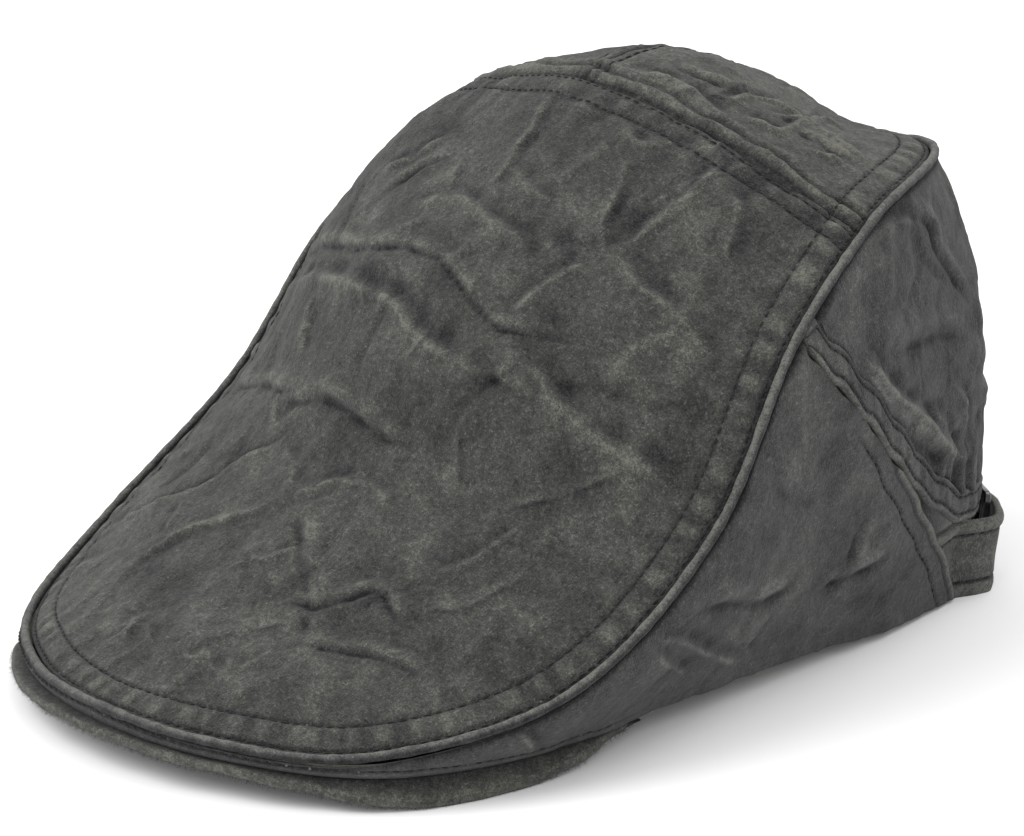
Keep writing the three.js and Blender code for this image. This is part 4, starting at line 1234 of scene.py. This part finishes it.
# %% Peak
def peak():
    corner = PEAK_OUT[-1][0]
    around = np.linspace(-corner, corner, 321)
    crease = wall(around, 1.0) - np.array([0, 0, GAP])
    away = outward(around)
    out = read_table(PEAK_OUT, np.abs(around)) * PEAK_LIP + FAR_LIP * bell(around + 0.14, 0.13)
    fall = read_table(PEAK_DROP, np.abs(around)) * PEAK_LIP
    lip = crease + away * out[:, None]
    lip[:, 2] += np.minimum(GAP + PEAK_THICKNESS - fall, 0)
    inner_corner = wall(corner, 1.0) - outward(np.array(corner)) * (CLOTH + 2 * GAP)
    nose_along = edge("rim", np.array(0.0))[1]
    turn = np.pi / 2 * around / corner
    arched = np.stack([
        inner_corner[0] * np.sin(turn),
        inner_corner[1] - (inner_corner[1] - nose_along - PEAK_DEPTH) * np.cos(turn),
        inner_corner[2] - GAP + PEAK_ARCH * np.cos(turn),
    ], axis=-1)
    board = crease - away * (CLOTH + GAP)
    rows = [lip + (crease - lip) * share for share in np.linspace(0, 1, LIP_ROWS)]
    rows += [board + (arched - board) * share for share in np.linspace(0, 1, BOARD_ROWS)]
    top = np.array(rows)
    taper = 0.2 + 0.8 * step_up(corner - np.abs(around), 0, 0.06)
    under = top - np.array([0, 0, PEAK_THICKNESS]) * taper[None, :, None]
    length = np.cumsum(np.linalg.norm(np.diff(lip, axis=0, prepend=lip[:1]), axis=-1))
    wave = pucker(length, 24.0, 71)[None, :]
    from_lip = np.linspace(0, 1, LIP_ROWS)
    # painted light along the outer edge of the lip, painted shade towards the crease and under the crown
    shade = np.concatenate([0.55 - 1.5 * from_lip, np.full(BOARD_ROWS, -0.2)])[:, None]
    wear = shade + wave * 0.2 + swell(top, 9, 72) * 0.15
    ease = np.concatenate([1 - from_lip, np.zeros(BOARD_ROWS)])[:, None]
    ripple = away[None] * (wave * 0.25 * ease)[..., None]
    top = top + ripple
    under = under + ripple
    piece = sew("peak_cloth", top, under, wear, [crown_cotton, crown_cotton], 0.75)
    middle = (top[0] + under[0]) / 2 + away * 0.5
    EDGES["peak"] = (middle, away - np.array([0, 0, 0.3]))
    EDGES["peak_foot"] = (under[0], away * 0.6 - np.array([0, 0, 0.8]))
    return dress(piece, "waxed_cotton", "peak")


peak()

# %% [markdown]
# ## The strap and its slider
# Two ends of a folded strap cross at the back. Each is a flat band of cloth whose top and bottom edges
# are rolled and stitched, so the edges are pale with rubbing and a groove, painted dark as shade, runs
# beside each. The whole strap is also painted paler, as painted light on a part that stands in shade. The
# paths say how far out from the wall each end lies, in shares of its thickness.

# %% Strap
STRAP_WIDTH = 20
STRAP_THICKNESS = 1.6
UPPER_ROW = STRAP_WIDTH - 3.3
LOWER_ROW = 3.9
LEFT_STRAP = ((0.755, -2.6), (0.831, -2.6), (0.856, 3.1), (0.939, 3.1))
RIGHT_STRAP = ((0.755, -2.6), (0.835, -2.6), (0.875, 0.1), (1.000, 0.1), (1.060, -0.9), (1.118, -0.9))


def wall_lean(around):
    share = STRAP_WIDTH / CROWN_HEIGHT / section("seam_up", around)
    return np.sum((wall(around, 1 - share) - wall(around, 1.0)) * outward(around), axis=-1)


def strap(name, path, side, steps, seed):
    rows = 44
    around = np.linspace(path[0][0], path[-1][0], steps + 1)
    up = np.linspace(0, 1, rows + 1)[:, None]
    foot = wall(side * around, 1.0)
    away = outward(side * around)
    out = read_table(path, around) * STRAP_THICKNESS
    lean = wall_lean(around)
    height = np.repeat(up * STRAP_WIDTH, steps + 1, axis=1)
    shift = out[None] + lean[None] * up
    inner = foot[None] + away[None] * shift[..., None]
    inner[..., 2] = height
    length = np.cumsum(np.linalg.norm(np.diff(foot, axis=0, prepend=foot[:1]), axis=-1))
    wave = pucker(length, 9.0, seed)[None, :]
    roll = bell(height - STRAP_WIDTH + 1.3, 1.3)
    welt = bell(height - 1.6, 1.6)
    grooves = bell(height - UPPER_ROW, 0.5) + bell(height - LOWER_ROW, 0.5)
    relief = 0.1 + roll * 0.6 + welt * 0.25 - grooves * 0.45
    relief = relief + wave * 0.12 + swell(inner, 10, seed) * 0.12
    outer = inner + away[None] * (STRAP_THICKNESS + np.clip(relief, -0.4, 0.8))[..., None]
    # painted light: the whole strap is lifted paler; painted shade in its two stitch grooves; the rolled
    # edges are paler with rubbing
    wear = 1.05 + roll * (1.5 + 0.3 * wave) + welt * 0.5 - grooves * 2.2
    wear = wear + swell(inner, 7, seed + 1) * 0.3 + crumple(inner, 12, seed + 2, 1.0) * 0.5
    piece = sew(name + "_cloth", outer, inner, wear, [waxed_cotton, waxed_cotton], 1.7)
    EDGES[name] = ((outer[-1] + inner[-1]) / 2, away * 0.4 + np.array([0, 0, 1.0]))
    base = inner + away[None] * STRAP_THICKNESS
    PANELS[name] = (base, np.broadcast_to(away[None], inner.shape), relief)
    return dress(piece, "waxed_cotton", name)


strap("strap_left", LEFT_STRAP, 1, 120, 81)
strap("strap_right", RIGHT_STRAP, -1, 200, 82)

# %% [markdown]
# The slider is a moulded frame with a bar across its middle. A flat outline with two holes, given a
# depth and a rounded bevel, is exactly how such a part is drawn, so a curve makes it.

# %% Outline of the slider
SLIDER_ROUND = 0.893
SLIDER_LENGTH = 18
SLIDER_BAR = 3
SLIDER_THICKNESS = 1.8
SLIDER_OVERHANG = 4
SLIDER_CORNER = 2.4
SLOT_CORNER = 0.8
SLIDER_BEVEL = 0.55


def rounded_box(curve, centre, length, height, radius):
    spline = curve.splines.new("POLY")
    corners = []
    for x, y, start in ((1, -1, -90), (1, 1, 0), (-1, 1, 90), (-1, -1, 180)):
        for step in range(7):
            angle = math.radians(start + step * 15)
            corners.append((centre + x * (length / 2 - radius) + radius * math.cos(angle),
                            y * (height / 2 - radius) + radius * math.sin(angle)))
    spline.points.add(len(corners) - 1)
    for point, (x, y) in zip(spline.points, corners):
        point.co = (x * MM, y * MM, 0, 1)
    spline.use_cyclic_u = True


print("the slider is", STRAP_WIDTH + SLIDER_OVERHANG, "mm high")

# %% [markdown]
# It leans with the wall behind it, and lies where the plain slider lies.

# %% Slider
def slider():
    height = STRAP_WIDTH + SLIDER_OVERHANG
    curve = bpy.data.curves.new("strap_slider_outline", "CURVE")
    curve.dimensions = "2D"
    curve.fill_mode = "BOTH"
    curve.extrude = (SLIDER_THICKNESS / 2 - SLIDER_BEVEL) * MM
    curve.bevel_depth = SLIDER_BEVEL * MM
    curve.bevel_resolution = 4
    slot = (SLIDER_LENGTH - 3 * SLIDER_BAR) / 2
    inset = 2 * SLIDER_BEVEL
    rounded_box(curve, 0, SLIDER_LENGTH - inset, height - inset, SLIDER_CORNER - SLIDER_BEVEL)
    for side in (-1, 1):
        hole = height - 2 * SLIDER_BAR + inset
        rounded_box(curve, side * (slot + SLIDER_BAR) / 2, slot + inset, hole, SLOT_CORNER + SLIDER_BEVEL)
    template = bpy.data.objects.new("strap_slider_outline", curve)
    bpy.context.scene.collection.objects.link(template)
    bpy.context.view_layer.update()
    finished = template.evaluated_get(bpy.context.evaluated_depsgraph_get())
    mesh = bpy.data.meshes.new_from_object(finished)
    bpy.data.objects.remove(template)
    around = np.array(SLIDER_ROUND)
    away = outward(around)
    leaning = unit(np.array([0, 0, STRAP_WIDTH]) + away * wall_lean(around))
    sideways = unit(np.cross(leaning, away))
    face_out = np.cross(sideways, leaning)
    low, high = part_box("strap_slider")
    middle = np.array((low + high) / 2)
    rows = [[sideways[k], leaning[k], face_out[k], middle[k]] for k in range(3)]
    mesh.transform(Matrix(rows + [[0, 0, 0, 1]]))
    mesh.materials.clear()
    mesh.materials.append(black_plastic)
    mesh.shade_smooth()
    piece = bpy.data.objects.new("strap_slider_moulded", mesh)
    bpy.context.scene.collection.objects.link(piece)
    return dress(piece, "black_plastic", "strap_slider")


slider()

# %% [markdown]
# ## Stitches
# Lockstitches sink into the cloth at both ends and lie proud in the middle. The rows follow the grooves
# that were pressed into the panels above. A row on the crown keeps a distance from its seam, so it is
# found where the panel's distance from the seam crosses that value.

# %% Finding a row
def level_line(lifted, field, level, order):
    """Points where a field on a grid crosses a level, put in order."""
    points = []
    orders = []
    for axis in (0, 1):
        first = tuple(slice(None, -1) if k == axis else slice(None) for k in (0, 1))
        second = tuple(slice(1, None) if k == axis else slice(None) for k in (0, 1))
        low = field[first] - level
        high = field[second] - level
        crossing = (low * high < 0) & (np.abs(low - high) < 3)
        share = (low / np.where(crossing, low - high, 1))[crossing][:, None]
        points.append(lifted[first][crossing] * (1 - share) + lifted[second][crossing] * share)
        orders.append(order[first][crossing])
    points = np.concatenate(points)
    orders = np.concatenate(orders)
    return points[np.argsort(orders)], np.sort(orders)


def tidy_line(points, orders, pitch=2.0):
    """Averages scattered ordered points into an even line."""
    bins = np.round(orders / pitch).astype(int)
    return np.array([points[bins == b].mean(axis=0) for b in np.unique(bins)])


print("seam rows lie", SEAM_ROWS, "mm inside the seam")

# %% [markdown]
# A stitch has to know which way the cloth faces. The nearest point of the panel's grid tells it, and
# also how far the relief lifts the thread.

# %% Rows on cloth
def nearest_places(line, name):
    """The index of the panel's nearest grid point for each point of a line."""
    base = PANELS[name][0].reshape(-1, 3)
    tree = KDTree(len(base))
    for index, point in enumerate(base):
        tree.insert(point, index)
    tree.balance()
    return [tree.find(point)[1] for point in line]


def on_line(line, name):
    """A line that already lies on the cloth, with the panel's normals."""
    return line, PANELS[name][1].reshape(-1, 3)[nearest_places(line, name)]


def on_cloth(line, name):
    """Lifts a line onto the relief of a panel, with the panel's normals."""
    places = nearest_places(line, name)
    ups = PANELS[name][1].reshape(-1, 3)[places]
    return line + ups * PANELS[name][2].ravel()[places][:, None], ups


print(len(PANELS), "panels can carry stitches")

# %% [markdown]
# Each stitch is a tiny tapered capsule of six sides, a little longer or shorter than the next. A few short
# ones are painted pale, as glints of light on the thread.

# %% Sewing the stitches
STITCH_PITCH = 2.7
STITCH_LENGTH = 2.3
THREAD_RADIUS = 0.28
THREAD_SIDES = 6
# share of stitches painted pale as glints, a painted highlight
GLINT_SHARE = 0.03
# place along the stitch, girth, rise in mm
STITCH_PROFILE = ((-1.0, 0.4, -0.35), (-0.62, 0.9, 0.0), (0.0, 1.0, 0.1), (0.62, 0.9, 0.0), (1.0, 0.4, -0.35))


def stitch_rows(name, rows, seed):
    rng = np.random.default_rng(seed)
    corners = []
    faces = []
    wear = []
    for line, ups in rows:
        path, along = resample(line, STITCH_PITCH)
        steps = np.linalg.norm(np.diff(line, axis=0), axis=1)
        lengths = np.concatenate([[0], np.cumsum(steps)])
        up = unit(np.stack([np.interp(along, lengths, ups[:, k]) for k in range(3)], axis=-1))
        ways = unit(np.gradient(path, axis=0))
        for centre, way, lift in zip(path, ways, up):
            way = unit(way + rng.normal(0, 0.05, 3))
            across = unit(np.cross(way, lift))
            lift = np.cross(across, way)
            size = THREAD_RADIUS * rng.uniform(0.85, 1.15)
            lighter = rng.random() < GLINT_SHARE
            length = STITCH_LENGTH * (0.35 if lighter else rng.uniform(0.8, 1.05))
            start = len(corners)
            for place, girth, rise in STITCH_PROFILE:
                middle = centre + way * place * length / 2 + lift * rise
                for k in range(THREAD_SIDES):
                    turn = 2 * math.pi * k / THREAD_SIDES
                    ring = across * math.cos(turn) + lift * math.sin(turn)
                    corners.append(middle + ring * size * girth)
            for i in range(len(STITCH_PROFILE) - 1):
                for k in range(THREAD_SIDES):
                    a = start + i * THREAD_SIDES + k
                    b = start + i * THREAD_SIDES + (k + 1) % THREAD_SIDES
                    faces.append((a, b, b + THREAD_SIDES, a + THREAD_SIDES))
            last = len(corners) - THREAD_SIDES
            faces.append(tuple(start + k for k in range(THREAD_SIDES))[::-1])
            faces.append(tuple(last + k for k in range(THREAD_SIDES)))
            # painted highlight: the short pale stitches stand for glints of light
            wear += [1.5 if lighter else rng.uniform(-0.8, 0.3)] * (THREAD_SIDES * len(STITCH_PROFILE))
    return dress(make_object(name, corners, faces, wear, [thread_black]), "hem_cotton")


print("stitches are", STITCH_LENGTH, "mm long and", STITCH_PITCH, "mm apart")

# %% [markdown]
# Four sets of rows lie on the crown: two inside the top seam on the front panel and on both rear panels,
# those beside the cross seam, and one on each side of the centre seam.

# %% Rows on the crown
def seam_rows(name):
    base, normals, relief, inside = PANELS[name][:4]
    lifted = base + normals * relief[..., None]
    order = near_line(base, normals, SEAM_LINE)[1]
    rows = []
    for level in SEAM_ROWS:
        points, orders = level_line(lifted, np.abs(inside), level, order)
        line = tidy_line(points, orders)
        breaks = np.nonzero(np.linalg.norm(np.diff(line, axis=0), axis=1) > 9)[0] + 1
        for part in np.split(line, breaks):
            if len(part) > 6:
                rows.append(on_line(part, name))
    return rows


def cross_rows(name, levels):
    base, normals, relief, _, behind = PANELS[name]
    lifted = base + normals * relief[..., None]
    rows = []
    for level in levels:
        points, orders = level_line(lifted, behind, level, base[..., 0])
        rows.append(on_line(tidy_line(points, orders), name))
    return rows


def middle_rows():
    rows = []
    for name, sign in (("rear_top_panel_left", 1), ("rear_top_panel_right", -1)):
        around = np.linspace(CROSS_SEAM + 0.012, ROW_END - 0.03, 60)
        width = np.linalg.norm(crown(1, around) - crown(0, around), axis=-1)
        rows.append(on_cloth(crown(sign * MIDDLE_ROW / width * 0.95, around), name))
    return rows


stitch_rows("front_seam_stitches", seam_rows("front_top_panel"), 91)
stitch_rows("rear_seam_stitches", seam_rows("rear_top_panel_left") + seam_rows("rear_top_panel_right"), 92)
stitch_rows("cross_seam_stitches", cross_rows("front_top_panel", CROSS_ROWS), 93)
stitch_rows("middle_seam_stitches", middle_rows(), 94)

# %% [markdown]
# On the walls each row is a path in shares of the wall: along both edges of the hem, beside the free rear
# edge and close to the rim over the peak. The strap's rows are rows of its own grid.

# %% Rows on the walls and the strap
def hem_rows(name, side):
    rows = []
    around = np.linspace(HEM_HEAD + 0.02, 0.995, 90)
    foot = read_table(HEM_PATH, around)
    head = foot - hem_rise(around)
    for share in (1.0 / HEM_WIDTH, 1 - 1.3 / HEM_WIDTH):
        drop = head + (foot - head) * share
        line = wall(side * around, drop) + wall_normal(side * around, drop) * (HEM_THICKNESS - CLOTH)
        rows.append(on_cloth(line, name))
    return rows


def rear_row(name, side):
    drop = np.linspace(0.47, 0.97, 60)
    edge_around = read_table(REAR_EDGE, drop)
    step = 0.01
    per_round = np.linalg.norm(wall(edge_around, drop) - wall(edge_around - step, drop), axis=-1) / step
    around = edge_around - REAR_STITCH_INSET / per_round
    return on_cloth(wall(side * around, drop), name)


def band_row(name, side):
    around = np.linspace(0.01, 0.44, 150)
    height = np.linalg.norm(edge("seam", around) - edge("rim", around), axis=-1)
    return on_cloth(wall(side * around, 1 - BAND_STITCH_INSET / height), name)


def strap_rows(name):
    base, normals, relief = PANELS[name]
    lifted = base + normals * relief[..., None]
    rows = []
    for height in (UPPER_ROW, LOWER_ROW):
        row = int(round(height / STRAP_WIDTH * (len(base) - 1)))
        rows.append((lifted[row], np.array(normals[row])))
    return rows


for word, side in (("left", 1), ("right", -1)):
    rows = hem_rows("back_hem_" + word, side)
    rows += [rear_row("side_panel_" + word, side), band_row("side_panel_" + word, side)]
    stitch_rows("wall_stitches_" + word, rows, 95 + side)
    stitch_rows("strap_stitches_" + word, strap_rows("strap_" + word), 98 + side)

# %% [markdown]
# ## Fuzz
# Washing lifts short fibres along every worn edge, so the outline of a soft cap is never quite sharp.
# Each fibre is a thin three-sided spike, set at random along an edge and leaning at random.

# %% Fuzz along the edges
FUZZ_LENGTH = 0.75
FUZZ_RADIUS = 0.045


def fuzz(name, edges, per_mm, seed):
    rng = np.random.default_rng(seed)
    corners = []
    faces = []
    for line, outwards in edges:
        steps = np.linalg.norm(np.diff(line, axis=0), axis=1)
        lengths = np.concatenate([[0], np.cumsum(steps)])
        places = rng.uniform(0, lengths[-1], int(lengths[-1] * per_mm))
        roots = np.stack([np.interp(places, lengths, line[:, k]) for k in range(3)], axis=-1)
        ways = np.stack([np.interp(places, lengths, outwards[:, k]) for k in range(3)], axis=-1)
        ways = unit(unit(ways) + rng.normal(0, 0.55, ways.shape))
        roots = roots - ways * 0.3 + rng.normal(0, 0.25, roots.shape)
        tips = roots + ways * (FUZZ_LENGTH * rng.uniform(0.5, 1.5, len(roots)))[:, None] + ways * 0.3
        tips[:, 2] = np.maximum(tips[:, 2], 0.2)
        roots[:, 2] = np.maximum(roots[:, 2], 0.2)
        across = unit(np.cross(ways, rng.normal(0, 1, ways.shape)))
        lift = np.cross(across, ways)
        for root, tip, a, b in zip(roots, tips, across, lift):
            start = len(corners)
            for turn in (0.0, 2.1, 4.2):
                corners.append(root + (a * math.cos(turn) + b * math.sin(turn)) * FUZZ_RADIUS)
            corners.append(tip)
            for near, far in ((0, 1), (1, 2), (2, 0)):
                faces.append((start + near, start + far, start + 3))
    wear = np.full(len(corners), 0.9)
    return dress(make_object(name, corners, faces, wear, [waxed_cotton]), "waxed_cotton")


def rear_edge_line(side):
    drop = np.linspace(0.45, 1.0, 80)
    around = read_table(REAR_EDGE, drop)
    onward = wall(side * (around + 0.004), drop) - wall(side * around, drop)
    return wall(side * around, drop), onward


def hem_foot_line(side):
    around = np.linspace(HEM_HEAD + 0.02, 0.995, 120)
    drop = read_table(HEM_PATH, around)
    line = wall(side * around, drop) + wall_normal(side * around, drop) * 0.6
    return line, wall(side * around, drop + 0.02) - wall(side * around, drop)


for word, side in (("left", 1), ("right", -1)):
    fuzz("side_edge_fuzz_" + word, [rear_edge_line(side)], 7, 111 + side)
    fuzz("hem_fuzz_" + word, [hem_foot_line(side)], 4, 114 + side)
    fuzz("strap_fuzz_" + word, [EDGES["strap_" + word]], 6, 117 + side)
fuzz("peak_fuzz", [EDGES["peak"], EDGES["peak_foot"]], 7, 121)

# %% [markdown]
# ## Floor, camera and light
# The cap stands on a pale paper sweep, which turns up behind it in a wide round so that no edge shows.

# %% Floor
CAMERA_AZIMUTH = 51.15
SWEEP_DEPTH = 1.4
SWEEP_ROUND = 0.9


def sweep():
    profile = [(-2.2, 0.0), (SWEEP_DEPTH, 0.0)]
    for step in range(1, 13):
        angle = math.radians(step * 7.5)
        deep = SWEEP_DEPTH + SWEEP_ROUND * math.sin(angle)
        profile.append((deep, SWEEP_ROUND - SWEEP_ROUND * math.cos(angle)))
    profile.append((SWEEP_DEPTH + SWEEP_ROUND, 3.0))
    turn = math.radians(CAMERA_AZIMUTH)
    forward = Vector((-math.sin(turn), math.cos(turn), 0))
    sideways = Vector((math.cos(turn), math.sin(turn), 0))
    corners = []
    for x in (-3.5, 3.5):
        corners += [tuple(forward * y + sideways * x + Vector((0, 0, z))) for y, z in profile]
    count = len(profile)
    faces = [(i, i + 1, count + i + 1, count + i) for i in range(count - 1)]
    mesh = bpy.data.meshes.new("sweep")
    mesh.from_pydata(corners, [], faces)
    mesh.shade_smooth()
    paint = Paint("pale sweep")
    paint.set(Base_Color=(0.90, 0.90, 0.90, 1), Roughness=0.9, Specular_IOR_Level=0.1)
    mesh.materials.append(paint.material)
    floor = bpy.data.objects.new("sweep", mesh)
    bpy.context.scene.collection.objects.link(floor)


sweep()
print("the sweep turns up", SWEEP_DEPTH, "m behind the cap")

# %% [markdown]
# The camera looks down on the cap's left front corner with a long lens, and is turned by a small roll.
# Its distance and its lens follow from how large the cap should look.

# %% Camera
CAMERA_TILT = 17.0
CAMERA_ROLL = -1.7
CAMERA_DISTANCE = 920
PIXELS_PER_MM = 4.07
AIM = Vector((0, 15.0, 58.5))
AIM_PIXEL = (553, 390)
PICTURE = (1024, 836)
SENSOR = 36


def camera():
    turn = math.radians(CAMERA_AZIMUTH)
    tilt = math.radians(CAMERA_TILT)
    roll = math.radians(CAMERA_ROLL)
    back = Vector((math.sin(turn) * math.cos(tilt), -math.cos(turn) * math.cos(tilt), math.sin(tilt)))
    right = Vector((math.cos(turn), math.sin(turn), 0))
    up = back.cross(right)
    right, up = (right * math.cos(roll) + up * math.sin(roll), up * math.cos(roll) - right * math.sin(roll))
    place = AIM + back * CAMERA_DISTANCE
    place -= right * (AIM_PIXEL[0] - PICTURE[0] / 2) / PIXELS_PER_MM
    place += up * (AIM_PIXEL[1] - PICTURE[1] / 2) / PIXELS_PER_MM
    data = bpy.data.cameras.new("camera")
    data.sensor_width = SENSOR
    data.lens = PIXELS_PER_MM * CAMERA_DISTANCE * SENSOR / PICTURE[0]
    data.clip_end = 20
    viewer = bpy.data.objects.new("camera", data)
    rows = [[right[k], up[k], back[k], place[k] * MM] for k in range(3)]
    viewer.matrix_world = Matrix(rows + [[0, 0, 0, 1]])
    bpy.context.scene.collection.objects.link(viewer)
    bpy.context.scene.camera = viewer


camera()
print("the lens is", round(bpy.context.scene.camera.data.lens), "mm long")

# %% [markdown]
# The daylight is soft: a bright sky all round, and one large soft box from the front left that makes the
# crown a little brighter than the near wall. Two weaker boxes fill the near side and the top of the back.
# A very weak lamp inside the cap stands in for the daylight that thin cloth lets through.

# %% Light
def soft_box(name, place, size, power, target=(0, 0, 0.06), spread=180):
    data = bpy.data.lights.new(name, "AREA")
    data.shape = "DISK"
    data.size = size
    data.energy = power
    data.spread = math.radians(spread)
    light = bpy.data.objects.new(name, data)
    light.location = place
    light.rotation_euler = (Vector(target) - Vector(place)).to_track_quat("-Z", "Y").to_euler()
    bpy.context.scene.collection.objects.link(light)


soft_box("front left softbox", (-0.7, -1.3, 1.6), 1.8, 27)
soft_box("camera side fill", (1.05, -0.82, 0.50), 0.9, 1.6)
soft_box("top back softbox", (0.2, 0.8, 1.35), 0.8, 5)
soft_box("lamp inside the cap", (0.0, 0.05, 0.05), 0.02, 0.010, (0.050, 0.106, 0.014), 40)
world = bpy.data.worlds.new("studio")
world.use_nodes = True
world.node_tree.nodes["Background"].inputs["Color"].default_value = (1.0, 1.0, 1.0, 1)
world.node_tree.nodes["Background"].inputs["Strength"].default_value = 1.10
bpy.context.scene.world = world
bpy.context.scene.view_settings.view_transform = "Standard"
print("four lamps and a sky")

# %% [markdown]
# ## Finish
# The plain model's size was printed when it was loaded; here the dressed pieces are counted. The
# dressed cap has to stay the size of the plain model.

# %% Finish
print(len(PIECES), "pieces dressed")
